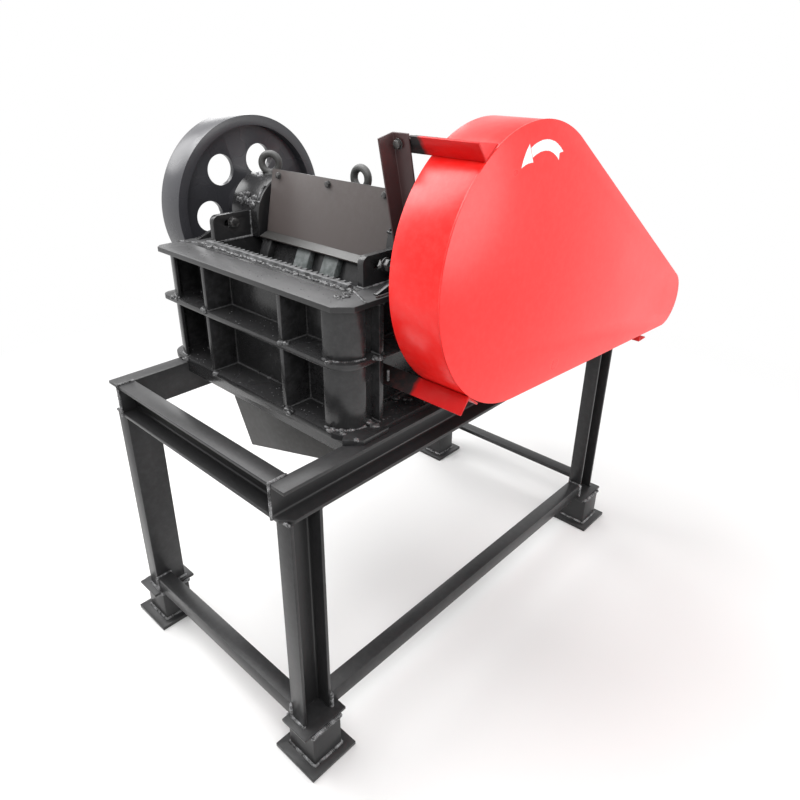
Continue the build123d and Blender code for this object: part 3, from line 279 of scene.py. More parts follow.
# Lifting eyes
EYE_RING = 0.0227
EYE_WIRE = 0.009
EYE_NECK = 0.0105
EYE_COLLAR = 0.0175
EYE_COLLAR_DEPTH = 0.007
EYE_FOOT = 1.153
EYE_BOSS = 0.022
EYE_HEIGHT = 1.1875
EYE_TURN = 35
EYE_VOXEL = 0.0014
EYE_NECK_FLARE = 1.25

# Spring and motor
SPRING_RADIUS = 0.02
SPRING_TURNS = 6
SPRING_LENGTH = 0.07
SPRING_END = 0.038
LID_HALF = 0.05
LID_Y = (-0.2575, -0.1475)
LID_DEPTH = 0.006
LID_INSET = 0.012
LID_STEP = 0.0012
LID_EDGE = 0.0015
GRILLE_RADIUS = 0.118
GRILLE_RINGS = 7
GRILLE_WIRE = 0.0015
GRILLE_GAP = 0.3

# Stage
FLOOR_SIZE = 40
FLOOR_DROP = 0.0005
FLOOR_REACH = (0.9, 2.6)
SENSOR_WIDTH = 36
LAMP_AIM = Vector((0, 0, 0.7))
# Each lamp: its name, its place, its width and its share of the lamp power
LAMPS = (
    ("key_lamp", (-1.6, -1.9, 3.0), 1.8, 0.85),
    ("top_lamp", (-0.6, 0.95, 3.0), 2.3, 1.5),
    ("rear_lamp", (1.7, 2.7, 2.0), 1.8, 0.45),
    ("window_lamp", (-0.86, 2.65, 2.46), 1.5, 0.4),
    ("front_lamp", (1.0, -2.8, 1.2), 1.6, 0.5),
)


# Settings

def colour_setting(label, description, *shade):
    return bpy.props.FloatVectorProperty(
        name=label, description=description, default=shade, subtype="COLOR", min=0, max=1)


def length_setting(label, description, size, least, most):
    return bpy.props.FloatProperty(
        name=label, description=description, default=size, min=least, max=most, unit="LENGTH")


class CrusherPaint(bpy.types.PropertyGroup):
    """Colours and gloss of the finishes"""
    body_colour: colour_setting("Body", "Black gloss paint of the body and the stand", 0.019, 0.0188, 0.0195)
    cover_colour: colour_setting("Cover", "Brownish black paint of the cover sheet", 0.068, 0.056, 0.053)
    chute_colour: colour_setting("Chute", "Dull paint of the discharge chute", 0.027, 0.0255, 0.024)
    # The cover's lip gets a darker colour than the cover: painted shade on the faces that look up.
    lip_shade_colour: colour_setting("Cover lip", "Darker paint of the cover's folded lip", 0.03, 0.029, 0.027)
    wheel_colour: colour_setting("Wheels", "Paint of the flywheel and the driven wheel", 0.046, 0.046, 0.052)
    post_colour: colour_setting("Post", "Brownish black paint of the guard's post", 0.05, 0.021, 0.021)
    guard_colour: colour_setting("Guard", "Red gloss paint of the belt guard", 0.88, 0.008, 0.006)
    bracket_colour: colour_setting("Brackets", "Darker red oversprayed on the brackets", 0.56, 0.006, 0.006)
    jaw_colour: colour_setting("Jaw plates", "Thin paint on the cast jaw plates", 0.04, 0.041, 0.042)
    clamp_colour: colour_setting("Clamp blocks", "Dusty grey of the jaw clamps", 0.1, 0.115, 0.112)
    motor_colour: colour_setting("Motor", "Dark grey paint of the motor", 0.045, 0.05, 0.056)
    eye_colour: colour_setting("Eyes", "Forged skin of the lifting eyes", 0.05, 0.05, 0.048)
    steel_colour: colour_setting("Bare steel", "Machined steel of shafts and nipples", 0.32, 0.32, 0.33)
    rubber_colour: colour_setting("Rubber", "Rubber of the drive belts", 0.017, 0.017, 0.017)
    mark_colour: colour_setting("Arrow", "White of the arrow sprayed on the guard", 0.9, 0.9, 0.9)
    gloss: bpy.props.FloatProperty(
        name="Roughness", description="Roughness of the black paint",
        default=0.25, min=0.02, max=1, subtype="FACTOR")


class CrusherSteel(bpy.types.PropertyGroup):
    """Sizes of edges, welds, fasteners and the spring"""
    plate_edge: length_setting("Plate edge", "Rounding of flame-cut plate edges", 0.0013, 0.0002, 0.004)
    sheet_edge: length_setting("Sheet edge", "Rounding of folded sheet edges", 0.0008, 0.0002, 0.002)
    cast_edge: length_setting("Cast edge", "Rounding of the flywheel's edges", 0.003, 0.0005, 0.006)
    weld: length_setting("Weld", "Radius of the weld runs on the body", 0.0034, 0.001, 0.012)
    stand_weld: length_setting("Stand weld", "Radius of the weld runs on the stand", 0.004, 0.001, 0.012)
    guard_weld: length_setting("Guard weld", "Radius of the seam round the guard", 0.0016, 0.0005, 0.004)
    ripple: length_setting("Weld ripple", "Distance between the ripples of a weld run", 0.0042, 0.002, 0.02)
    slot_bolt: length_setting("Cheek bolt", "Thread of the bolts in the cheek slots", 0.014, 0.006, 0.024)
    post_bolt: length_setting("Post bolt", "Thread of the bolt through the guard's post", 0.009, 0.006, 0.024)
    motor_bolt: length_setting("Motor bolt", "Thread of the bolts of the motor's feet", 0.01, 0.005, 0.02)
    small_bolt: length_setting("Small bolt", "Thread of the cap, cover and shield bolts", 0.008, 0.004, 0.016)
    spring_wire: length_setting("Spring wire", "Radius of the tension spring's wire", 0.0035, 0.001, 0.006)


class CrusherStage(bpy.types.PropertyGroup):
    """Camera and light"""
    camera_place: bpy.props.FloatVectorProperty(
        name="Camera", description="Where the camera stands", default=(-1.2477, -1.1446, 1.4399),
        subtype="TRANSLATION")
    camera_turn: bpy.props.FloatVectorProperty(
        name="Camera turn", description="Tilt from straight down, roll and heading of the camera",
        default=(math.radians(63.86), math.radians(0.42), math.radians(-46.87)), subtype="EULER")
    lens: bpy.props.FloatProperty(
        name="Lens", description="Focal length in millimetres", default=30.15, min=10, max=100)
    shift: bpy.props.FloatVectorProperty(
        name="Shift", description="Lens shift of the photograph's framing", default=(0.0134, -0.0208), size=2)
    lamp_power: bpy.props.FloatProperty(
        name="Lamps", description="Power of the largest lamp", default=48, min=0, max=500, unit="POWER")
    room_light: bpy.props.FloatProperty(
        name="Room", description="Strength of the even light of the room", default=0.62, min=0, max=2)


# Small tools for modelling

def pick(*objects):
    """Selects only these objects and makes the first one active."""
    if bpy.context.mode != "OBJECT":
        bpy.ops.object.mode_set(mode="OBJECT")
    bpy.ops.object.select_all(action="DESELECT")
    for item in objects:
        item.select_set(True)
    bpy.context.view_layer.objects.active = objects[0]


def settle(piece):
    """Puts a piece's place into its mesh, so that the object sits at the origin."""
    pick(piece)
    bpy.ops.object.transform_apply(location=True, rotation=True, scale=True)
    return piece


def choose(piece, kind, passes):
    """In edit mode, selects the points or the faces that pass the test."""
    mesh = bmesh.from_edit_mesh(piece.data)
    bpy.context.tool_settings.mesh_select_mode = [kind == other for other in ("VERT", "EDGE", "FACE")]
    parts = mesh.faces if kind == "FACE" else mesh.verts
    for part in parts:
        part.select_set(False)
    for part in parts:
        if passes(part):
            part.select_set(True)
    mesh.select_flush_mode()
    bmesh.update_edit_mesh(piece.data)


def choose_faces(piece, wanted):
    """Selects the faces whose middle and normal pass the test."""
    choose(piece, "FACE", lambda face: wanted(face.calc_center_median(), face.normal))


def looks_up(_, normal):
    return normal.z > SQUARE


def choose_all():
    bpy.ops.mesh.select_all(action="SELECT")


def turn_outwards():
    """In edit mode, turns every face to the outside."""
    choose_all()
    bpy.ops.mesh.normals_make_consistent(inside=False)


def edit(piece):
    """Goes into edit mode on one piece."""
    pick(piece)
    bpy.ops.object.mode_set(mode="EDIT")


def push(way):
    """In edit mode, extrudes the selected faces along a way."""
    bpy.ops.mesh.extrude_region_move(TRANSFORM_OT_translate={"value": tuple(way)})


def merge(*pieces):
    """Joins pieces into the first one."""
    pick(*pieces)
    if len(pieces) > 1:
        bpy.ops.object.join()
    return pieces[0]


def finish_with(piece, kind, **values):
    """Adds a modifier with these values and applies it."""
    pick(piece)
    modifier = piece.modifiers.new(kind.title(), kind)
    for name, value in values.items():
        setattr(modifier, name, value)
    bpy.ops.object.modifier_apply(modifier=modifier.name)


def smooth(piece, angle=40.0):
    """Shades the piece smooth, up to edges sharper than the angle."""
    pick(piece)
    bpy.ops.object.shade_smooth_by_angle(angle=math.radians(angle))


def shade(piece):
    """Shades the piece smooth all over."""
    pick(piece)
    bpy.ops.object.shade_smooth()
    return piece


def round_edges(piece, width, segments=2, angle=30.0):
    """Rounds the sharp edges and shades the rest smooth."""
    finish_with(piece, "BEVEL", width=width, segments=segments, limit_method="ANGLE",
                angle_limit=math.radians(angle), miter_outer="MITER_ARC", use_clamp_overlap=True)
    smooth(piece)


def coat(piece, finish):
    """Gives the whole piece one material."""
    piece.data.materials.clear()
    piece.data.materials.append(finishes[finish])


def recoat(piece, finish, wanted):
    """Gives the chosen faces of a piece a second material."""
    piece.data.materials.append(finishes[finish])
    edit(piece)
    choose_faces(piece, wanted)
    piece.active_material_index = len(piece.data.materials) - 1
    bpy.ops.object.material_slot_assign()
    pick(piece)


def dressed(node, finish, edge=None):
    """A copy of a CAD node with rounded edges, which stands for the node."""
    piece = bpy.data.objects.new("dressed_" + node, frame["nodes"][node].data.copy())
    bpy.context.scene.collection.objects.link(piece)
    edit(piece)
    choose_all()
    bpy.ops.mesh.customdata_custom_splitnormals_clear()
    bpy.ops.mesh.remove_doubles(threshold=MERGE_REACH)
    bpy.ops.mesh.dissolve_limited(angle_limit=math.radians(FLAT_ANGLE))
    pick(piece)
    coat(piece, finish)
    round_edges(piece, edge or bpy.context.scene.crusher_steel.plate_edge)
    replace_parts(piece, node)
    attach(piece, BODY_OF[node])
    return piece


def joined(name, pieces, finish, body="frame"):
    """Joins pieces into one that rides on a body."""
    piece = merge(*pieces)
    piece.name = name
    piece.data.name = name
    settle(piece)
    coat(piece, finish)
    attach(piece, body)
    return piece


def copied(piece):
    """A copy of a piece with its own mesh."""
    twin = piece.copy()
    twin.data = piece.data.copy()
    bpy.context.scene.collection.objects.link(twin)
    return twin


def cylinder(radius, depth, place, axis=UP, sides=32):
    """A cylinder to start a piece from, its middle at a place."""
    bpy.ops.mesh.primitive_cylinder_add(
        vertices=sides, radius=radius, depth=depth, location=place,
        rotation=axis.to_track_quat("Z", "Y").to_euler())
    return settle(bpy.context.active_object)


def torus(major, minor, place, rotation=(0, 0, 0), around=48, across=6):
    """A ring, its middle at a place."""
    bpy.ops.mesh.primitive_torus_add(
        major_radius=major, minor_radius=minor, major_segments=around, minor_segments=across,
        location=place, rotation=rotation)
    return settle(bpy.context.active_object)


# Materials

class Shader:
    """A node tree, with nodes added by name and laid out in a row."""

    def __init__(self, tree):
        self.tree = tree
        self.count = 0

    def add(self, kind, inputs=None, **settings):
        made = self.tree.nodes.new(kind)
        made.location = (220 * (self.count % 8), -260 * (self.count // 8))
        self.count += 1
        for name, value in settings.items():
            setattr(made, name, value)
        for name, value in (inputs or {}).items():
            self.feed(value, made.inputs[name])
        return made

    def feed(self, value, socket):
        if isinstance(value, bpy.types.NodeSocket):
            self.tree.links.new(value, socket)
        elif socket.type == "RGBA" and len(value) == 3:
            socket.default_value = (*value, 1)
        else:
            socket.default_value = value

    def maths(self, operation, first, second=0.5, third=None, clamp=False):
        made = self.add("ShaderNodeMath", operation=operation, use_clamp=clamp)
        self.feed(first, made.inputs[0])
        self.feed(second, made.inputs[1])
        if third is not None:
            self.feed(third, made.inputs[2])
        return made.outputs[0]

    def span(self, value, low_in, high_in, low_out=0.0, high_out=1.0):
        made = self.add("ShaderNodeMapRange", {
            "Value": value, "From Min": low_in, "From Max": high_in, "To Min": low_out, "To Max": high_out})
        return made.outputs["Result"]

    def mixed(self, factor, first, second, blend="MIX"):
        made = self.add("ShaderNodeMix", data_type="RGBA", blend_type=blend)
        self.feed(factor, made.inputs["Factor"])
        self.feed(first, made.inputs["A"])
        self.feed(second, made.inputs["B"])
        return made.outputs["Result"]

    def noise(self, place, scale, detail=3.0, rough=0.55, distortion=0.0):
        made = self.add("ShaderNodeTexNoise", {
            "Vector": place, "Scale": scale, "Detail": detail, "Roughness": rough, "Distortion": distortion})
        return made.outputs["Fac"]

    def place(self):
        return self.add("ShaderNodeTexCoord").outputs["Object"]

    def minus(self, first, second):
        return self.maths("SUBTRACT", first, second)

    def times(self, first, second, clamp=False):
        return self.maths("MULTIPLY", first, second, clamp=clamp)

    def scaled(self, colour, factor):
        made = self.add("ShaderNodeVectorMath", {0: colour, "Scale": factor}, operation="SCALE")
        return made.outputs[0]

    def seen(self):
        """1 where the camera sees it, straight on or mirrored."""
        path = self.add("ShaderNodeLightPath").outputs
        return self.maths("MAXIMUM", path["Is Camera Ray"],
                          self.maths("MAXIMUM", path["Is Glossy Ray"], path["Is Transmission Ray"]))

    def effect(self, group, **values):
        made = self.add("ShaderNodeGroup", node_tree=group)
        for name, value in values.items():
            self.feed(value, made.inputs[name.replace("_", " ")])
        return made.outputs


def new_effect(name, outputs, **inputs):
    """An empty node group with named sockets, and its input and output nodes."""
    group = bpy.data.node_groups.new(name, "ShaderNodeTree")
    for label, value in inputs.items():
        kind = "NodeSocketFloat" if isinstance(value, float) else "NodeSocketColor"
        socket = group.interface.new_socket(name=label, in_out="INPUT", socket_type=kind)
        if value is not None:
            socket.default_value = value
    for label in outputs:
        kind = "NodeSocketColor" if label == "Colour" else "NodeSocketFloat"
        group.interface.new_socket(name=label, in_out="OUTPUT", socket_type=kind)
    shader = Shader(group)
    return shader, shader.add("NodeGroupInput").outputs, shader.add("NodeGroupOutput").inputs


def sprayed_coat_effect():
    """Sprayed paint: slight colour clouds, orange peel and uneven gloss."""
    shader, given, result = new_effect(
        "Sprayed Coat", ("Colour", "Roughness", "Height"), Colour=None, Roughness=0.3, Peel=1.0, Clouds=0.25)
    place = shader.place()
    clouds = shader.minus(shader.noise(place, 7.0, 4.0, 0.6), 0.5)
    shade_by = shader.maths("MULTIPLY_ADD", clouds, given["Clouds"], 1.0)
    shader.feed(shader.scaled(given["Colour"], shade_by), result["Colour"])
    film = shader.minus(shader.noise(place, 9.0, 2.0, 0.5), 0.5)
    shader.feed(shader.maths("MULTIPLY_ADD", film, 0.1, given["Roughness"], True), result["Roughness"])
    waves, peel = shader.noise(place, 34.0, 2.0, 0.5), shader.noise(place, 190.0, 1.5, 0.4)
    height = shader.maths("MULTIPLY_ADD", waves, 1.4, peel)
    shader.feed(shader.times(height, given["Peel"]), result["Height"])
    return shader.tree


def layer_effect(name, label, shade_of, amount, area_of):
    """A second colour laid over the first within an area, and the mask of it."""
    shader, given, result = new_effect(
        name, ("Colour", "Mask"), **{"Colour": None, label: (*shade_of, 1), "Amount": amount})
    mask = shader.times(area_of(shader), given["Amount"], clamp=True)
    shader.feed(mask, result["Mask"])
    shader.feed(shader.mixed(mask, given["Colour"], given[label]), result["Colour"])
    return shader.tree


def upward_patches(shader):
    """Faces that look up, in patches, where dust settles."""
    normal = shader.add("ShaderNodeNewGeometry").outputs["Normal"]
    facing = shader.add("ShaderNodeSeparateXYZ", {"Vector": normal})
    patches = shader.span(shader.noise(shader.place(), 16.0, 6.0, 0.66), 0.25, 0.75, 0.6, 1.0)
    return shader.times(shader.span(facing.outputs["Z"], 0.2, 0.95), patches)


def rubbed_and_highlit_edges(shader):
    """Stretches of sharp edges made lighter: partly rubbed paint, partly a painted highlight along the
    rounded edges.
    """
    ridge = shader.span(shader.add("ShaderNodeNewGeometry").outputs["Pointiness"], 0.515, 0.6)
    return shader.times(ridge, shader.span(shader.noise(shader.place(), 60.0, 5.0, 0.7), 0.42, 0.68))


def cast_skin_effect():
    """Grainy skin of a casting or forging."""
    shader, given, result = new_effect("Cast Skin", ("Colour", "Roughness", "Height"), Colour=None, Grain=1.0)
    place = shader.place()
    tone = shader.noise(place, 30.0, 5.0, 0.65)
    shader.feed(shader.scaled(given["Colour"], shader.span(tone, 0.3, 0.7, 0.65, 1.45)), result["Colour"])
    shader.feed(shader.span(tone, 0.3, 0.75, 0.42, 0.68), result["Roughness"])
    coarse, fine = shader.noise(place, 120.0, 4.0, 0.6), shader.noise(place, 520.0, 3.0, 0.6)
    height = shader.maths("MULTIPLY_ADD", coarse, 1.6, fine)
    shader.feed(shader.times(height, given["Grain"]), result["Height"])
    return shader.tree


effects = {}
finishes = {}
shaders = {}


def new_finish(name):
    """An empty material with its node tree."""
    material = bpy.data.materials.new(name)
    material.use_nodes = True
    material.node_tree.nodes.clear()
    finishes[name] = material
    shaders[name] = Shader(material.node_tree)
    return shaders[name]


def surface(name, colour, roughness, height=None, depth=0.0002, metallic=0.0, sheen=0.5):
    """The shader of one material, given its colour, roughness and height."""
    shader = shaders[name]
    bsdf = shader.add("ShaderNodeBsdfPrincipled", {
        "Base Color": colour, "Roughness": roughness, "Metallic": metallic, "Specular IOR Level": sheen})
    if height is not None:
        bump = shader.add("ShaderNodeBump", {"Height": height, "Strength": 0.5, "Distance": depth})
        shader.feed(bump.outputs["Normal"], bsdf.inputs["Normal"])
    shader.add("ShaderNodeOutputMaterial", {"Surface": bsdf.outputs["BSDF"]})


def dust_wear_and_edge_highlight(shader, colour, dust, edge_wear_and_highlight, bare_and_highlight_colour):
    """A colour with dust on top faces and lightened edges, which are partly rubbed paint and partly a painted
    highlight, and the mask of the dust.
    """
    dusty = shader.effect(effects["dust"], Colour=colour, Amount=dust)
    lightened_edges = shader.effect(effects["edge"], Colour=dusty["Colour"], Bare=bare_and_highlight_colour, Amount=edge_wear_and_highlight)
    return lightened_edges["Colour"], dusty["Mask"]


def painted(name, colour, roughness, peel=0.8, clouds=0.14, dust=0.03, edge_wear_and_highlight=0.22, bare_and_highlight_colour=(0.14, 0.14, 0.145),
            depth=0.0002, sheen=0.5):
    """Sprayed gloss paint, over one colour or over a colour from the material's own nodes."""
    shader = shaders[name] if name in shaders else new_finish(name)
    film = shader.effect(effects["coat"], Colour=colour, Roughness=roughness, Peel=peel, Clouds=clouds)
    top, dust_mask = dust_wear_and_edge_highlight(shader, film["Colour"], dust, edge_wear_and_highlight, bare_and_highlight_colour)
    rough = shader.maths("MULTIPLY_ADD", dust_mask, 0.6, film["Roughness"], True)
    surface(name, top, rough, film["Height"], depth, 0.0, sheen)


def oversprayed_finish(name, black, red):
    """Black paint inside the guard's back edge, and red overspray outside it."""
    shader = new_finish(name)
    place = shader.place()
    apart = shader.add("ShaderNodeSeparateXYZ", {"Vector": place})
    drift = shader.times(shader.minus(shader.noise(place, 40.0), 0.5), OVERSPRAY_DRIFT)
    edge = shader.maths("ADD", apart.outputs["Y"], drift)
    redness = shader.span(edge, GUARD_BACK + OVERSPRAY_REACH, GUARD_BACK)
    colour = shader.mixed(redness, black, red)
    # The pink on the bracket edges is a painted highlight.
    painted(name, colour, 0.3, 1.0, 0.25, 0.0, 0.12, (0.5, 0.1, 0.08), 0.0003, 0.22)


def cast_finish(name, colour, grain=1.0, dust=0.3, edge_wear_and_highlight=0.4, metallic=0.0, depth=0.0005,
                bare_and_highlight_colour=(0.3, 0.3, 0.31)):
    """Casting or forging under thin paint."""
    shader = new_finish(name)
    skin = shader.effect(effects["cast"], Colour=colour, Grain=grain)
    top, _ = dust_wear_and_edge_highlight(shader, skin["Colour"], dust, edge_wear_and_highlight, bare_and_highlight_colour)
    surface(name, top, skin["Roughness"], skin["Height"], depth, metallic)


def arrow_mask(shader, place, apart):
    """White where the sprayed arrow is: an arc with a pointed head and a notched tail."""
    across = shader.minus(apart.outputs["X"], ARROW_MIDDLE[0])
    upward = shader.minus(apart.outputs["Z"], ARROW_MIDDLE[1])
    radius = shader.maths("SQRT", shader.maths("ADD", shader.times(across, across),
                                               shader.times(upward, upward)))
    bearing = shader.maths("ARCTAN2", upward, across)
    spray = shader.times(shader.minus(shader.noise(place, 320.0, 3.0, 0.7), 0.5), ARROW_SPRAY)
    from_line = shader.maths("ABSOLUTE", shader.minus(radius, ARROW_RADIUS))
    off_line = shader.maths("ADD", from_line, spray)
    stem_edge = shader.times(shader.minus(ARROW_WIDTH / 2, off_line), ARROW_SHARP)
    notch = shader.span(from_line, 0.0, ARROW_WIDTH / 2, ARROW_TAIL + ARROW_NOTCH, ARROW_TAIL)
    tail_edge = shader.times(shader.minus(bearing, notch), ARROW_END_SHARP)
    neck_edge = shader.times(shader.minus(ARROW_HEAD_START, bearing), ARROW_END_SHARP)
    stem = shader.maths("MINIMUM", stem_edge, shader.maths("MINIMUM", tail_edge, neck_edge))
    to_tip = shader.minus(ARROW_TIP, bearing)
    head_half = shader.times(to_tip, ARROW_HEAD_WIDTH / 2 / (ARROW_TIP - ARROW_HEAD_START))
    head_edge = shader.times(shader.minus(head_half, off_line), ARROW_SHARP)
    base_edge = shader.times(shader.minus(bearing, ARROW_HEAD_START), ARROW_END_SHARP)
    head = shader.maths("MINIMUM", head_edge, base_edge)
    mask = shader.maths("MAXIMUM", stem, head, clamp=True)
    front = shader.span(apart.outputs["Y"], *(GUARD_FACE + depth for depth in ARROW_DEPTH))
    return shader.times(mask, front, clamp=True)


def guard_finish(name, colour, mark):
    """Red gloss paint on slightly wavy sheet, with the curved arrow sprayed on it and a painted pink
    highlight along its edges.
    """
    shader = new_finish(name)
    film = shader.effect(effects["coat"], Colour=colour, Roughness=0.3, Peel=0.5, Clouds=0.05)
    place = shader.place()
    apart = shader.add("ShaderNodeSeparateXYZ", {"Vector": place})
    mask = arrow_mask(shader, place, apart)
    marked = shader.mixed(mask, film["Colour"], mark)
    # Pink along the guard's sheet edges is a painted highlight.
    lightened_edges = shader.effect(effects["edge"], Colour=marked, Bare=(0.9, 0.3, 0.27), Amount=0.2)
    rough = shader.maths("MULTIPLY_ADD", mask, 0.25, film["Roughness"], True)
    dents = shader.noise(place, 5.5, 1.0, 0.4)
    height = shader.maths("MULTIPLY_ADD", dents, DENT_DEPTH, film["Height"])
    surface(name, lightened_edges["Colour"], rough, height, 0.00022)


def make_finishes():
    """All the materials of the crusher."""
    paint = bpy.context.scene.crusher_paint
    effects["coat"] = sprayed_coat_effect()
    effects["dust"] = layer_effect("Settled Dust", "Dust", (0.3, 0.3, 0.305), 0.2, upward_patches)
    # The lighter edges are partly worn paint and partly a painted highlight along the rounded plate edges.
    effects["edge"] = layer_effect("Rubbed And Highlit Edge", "Bare", (0.28, 0.28, 0.29), 0.5, rubbed_and_highlit_edges)
    effects["cast"] = cast_skin_effect()
    painted("Black Gloss Paint", paint.body_colour, paint.gloss)
    painted("Cover Paint", paint.cover_colour, 0.34, peel=0.6)
    painted("Wheel Paint", paint.wheel_colour, 0.27, peel=0.9, clouds=0.12, edge_wear_and_highlight=0.05)
    painted("Motor Paint", paint.motor_colour, 0.42, peel=1.2, dust=0.2)
    painted("Stand Paint", paint.body_colour, 0.33, edge_wear_and_highlight=0.12, sheen=0.36)
    painted("Chute Paint", paint.chute_colour, 0.5, dust=0.0, sheen=0.16)
    painted("Plate Paint", paint.body_colour, 0.34, peel=0.5, clouds=0.1, dust=0.2, edge_wear_and_highlight=0.1)
    painted("Post Paint", paint.post_colour, 0.36, peel=0.6, clouds=0.3, edge_wear_and_highlight=0.1)
    # Painted shade: the lip faces up and is given a darker copy of the cover's paint.
    painted("Lip Painted Shade", paint.lip_shade_colour, 0.3, peel=0.6)
    # Light grey on the ridges of the weld metal, through the edge effect, is painted glints.
    painted("Weld Paint", paint.body_colour, 0.12, peel=3.0, clouds=0.5, edge_wear_and_highlight=0.85,
                bare_and_highlight_colour=(0.42, 0.42, 0.43), depth=0.0006)
    painted("Bolt Paint", paint.body_colour, 0.24, peel=1.6, clouds=0.3, edge_wear_and_highlight=0.7, bare_and_highlight_colour=(0.3, 0.29, 0.28))
    oversprayed_finish("Bracket Red", paint.body_colour, paint.bracket_colour)
    guard_finish("Guard Red", paint.guard_colour, paint.mark_colour)
    cast_finish("Jaw Plate Skin", paint.jaw_colour, 0.8, dust=0.25, edge_wear_and_highlight=0.8, bare_and_highlight_colour=(0.35, 0.35, 0.36))
    cast_finish("Clamp Grey", paint.clamp_colour, 1.2, dust=0.3, edge_wear_and_highlight=0.7)
    cast_finish("Forged Eye", paint.eye_colour, 1.6, dust=0.4, edge_wear_and_highlight=0.8)
    cast_finish("Bare Steel", paint.steel_colour, 0.5, dust=0.1, edge_wear_and_highlight=0.2, metallic=0.9, depth=0.0002)
    cast_finish("Rubber", paint.rubber_colour, 0.8, dust=0.2, edge_wear_and_highlight=0.1)


# Moulds: one of each small shape, copied to its places

moulds = {}


def make_bead(add, scale, **shape):
    """A ball of weld metal, flattened along one axis."""
    add(radius=1, **shape)
    ball = bpy.context.active_object
    ball.scale = scale
    return shade(settle(ball))


def draw_top(piece, inset, rise):
    """Draws the top face of a piece in and up."""
    edit(piece)
    choose_faces(piece, looks_up)
    bpy.ops.mesh.inset(thickness=inset)
    bpy.ops.transform.translate(value=(0, 0, rise))


def hexagon(across, depth, foot, crown):
    """A hexagon with a chamfered crown, standing on its foot."""
    head = cylinder(across / math.sqrt(3), depth, (0, 0, foot + depth / 2), sides=6)
    draw_top(head, crown, crown / 2)
    round_edges(head, crown / 4)
    return head


def washer(radius, thickness):
    """A flat washer."""
    ring = cylinder(radius, thickness, (0, 0, thickness / 2), sides=28)
    round_edges(ring, thickness / 5, angle=60)
    return ring


def make_bolt():
    """A hexagon head on its washer, for a thread of 1."""
    return merge(hexagon(HEAD_ACROSS, HEAD_DEPTH, WASHER_THICKNESS, CROWN),
                 washer(WASHER_RADIUS, WASHER_THICKNESS))


def make_nut():
    """A nut on its washer with the bolt's end through it, for a thread of 1."""
    nut = hexagon(HEAD_ACROSS, NUT_DEPTH, WASHER_THICKNESS, CROWN)
    stud = cylinder(STUD_RADIUS, STUD_LENGTH, UP * STUD_LENGTH / 2, sides=20)
    draw_top(stud, 0.1, 0.08)
    smooth(stud)
    thread = torus(STUD_RADIUS - 0.01, 0.06, UP * THREAD_FOOT, around=20)
    finish_with(thread, "ARRAY", count=THREAD_RIDGES, use_relative_offset=False, use_constant_offset=True,
                constant_offset_displace=(0, 0, THREAD_PITCH))
    smooth(thread)
    return merge(nut, washer(WASHER_RADIUS, WASHER_THICKNESS), stud, thread)


def make_nipple():
    """A grease nipple: hexagon, neck and ball, 1 across."""
    base = hexagon(1.0, 0.5, 0, 0.08)
    neck = cylinder(0.3, 0.5, (0, 0, 0.7), sides=16)
    edit(neck)
    choose_faces(neck, looks_up)
    bpy.ops.transform.resize(value=(0.65, 0.65, 1))
    smooth(neck)
    bpy.ops.mesh.primitive_uv_sphere_add(segments=16, ring_count=10, radius=0.33, location=(0, 0, 1.12))
    ball = settle(bpy.context.active_object)
    smooth(ball)
    return merge(base, neck, ball)


MOULDS = {
    "ripple": lambda: make_bead(bpy.ops.mesh.primitive_uv_sphere_add, (0.72, 1, 1), segments=8, ring_count=5),
    "lump": lambda: make_bead(bpy.ops.mesh.primitive_ico_sphere_add, (1, 1, 0.75), subdivisions=3),
    "drop": lambda: make_bead(bpy.ops.mesh.primitive_ico_sphere_add, (1, 1, 0.6), subdivisions=1),
    "bolt": make_bolt,
    "nut": make_nut,
    "nipple": make_nipple,
}


def cast_moulds(*names):
    """Makes the moulds that an operator copies."""
    for name in names:
        moulds[name] = MOULDS[name]()


def clear_moulds():
    """Takes the moulds away once their copies are placed."""
    for mould in moulds.values():
        bpy.data.objects.remove(mould)
    moulds.clear()


def placed(mould, size, place, axis=UP, turn=0.0):
    """A copy of a mould at a size, standing on a place along an axis."""
    twin = copied(moulds[mould])
    twin.matrix_world = (Matrix.Translation(place) @ axis.to_track_quat("Z", "Y").to_matrix().to_4x4()
                         @ Matrix.Rotation(turn, 4, "Z") @ Matrix.Scale(size, 4))
    return settle(twin)


# Welds

def along(path, size):
    """A run of weld: one ripple repeated and bent along a path."""
    curve = bpy.data.curves.new("weld_path", "CURVE")
    curve.dimensions = "3D"
    spline = curve.splines.new("POLY")
    spline.points.add(len(path) - 1)
    for point, place in zip(spline.points, path):
        point.co = (*place, 1)
    guide = bpy.data.objects.new("weld_path", curve)
    bpy.context.scene.collection.objects.link(guide)
    run = copied(moulds["ripple"])
    run.scale = (size, size, size)
    settle(run)
    spacing = bpy.context.scene.crusher_steel.ripple * min(1, size / RIPPLE_SIZE)
    finish_with(run, "ARRAY", fit_type="FIT_CURVE", curve=guide, use_relative_offset=False,
                use_constant_offset=True, constant_offset_displace=(spacing, 0, 0))
    finish_with(run, "CURVE", object=guide, deform_axis="POS_X")
    bpy.data.objects.remove(guide)
    return run


def level(height, *corners):
    """Straight joints from corner to corner at one height."""
    return [(Vector((*a, height)), Vector((*b, height))) for a, b in zip(corners, corners[1:])]


def upright(x, y, foot, top):
    """A straight joint up from a foot."""
    return (Vector((x, y, foot)), Vector((x, y, top)))


def arc(centre, radius, start, end, steps=9):
    """Points of an arc in a level plane, its angles in degrees."""
    places = []
    for step in range(steps + 1):
        angle = math.radians(start + (end - start) * step / steps)
        places.append(Vector(centre) + Vector((math.cos(angle), math.sin(angle), 0)) * radius)
    return places


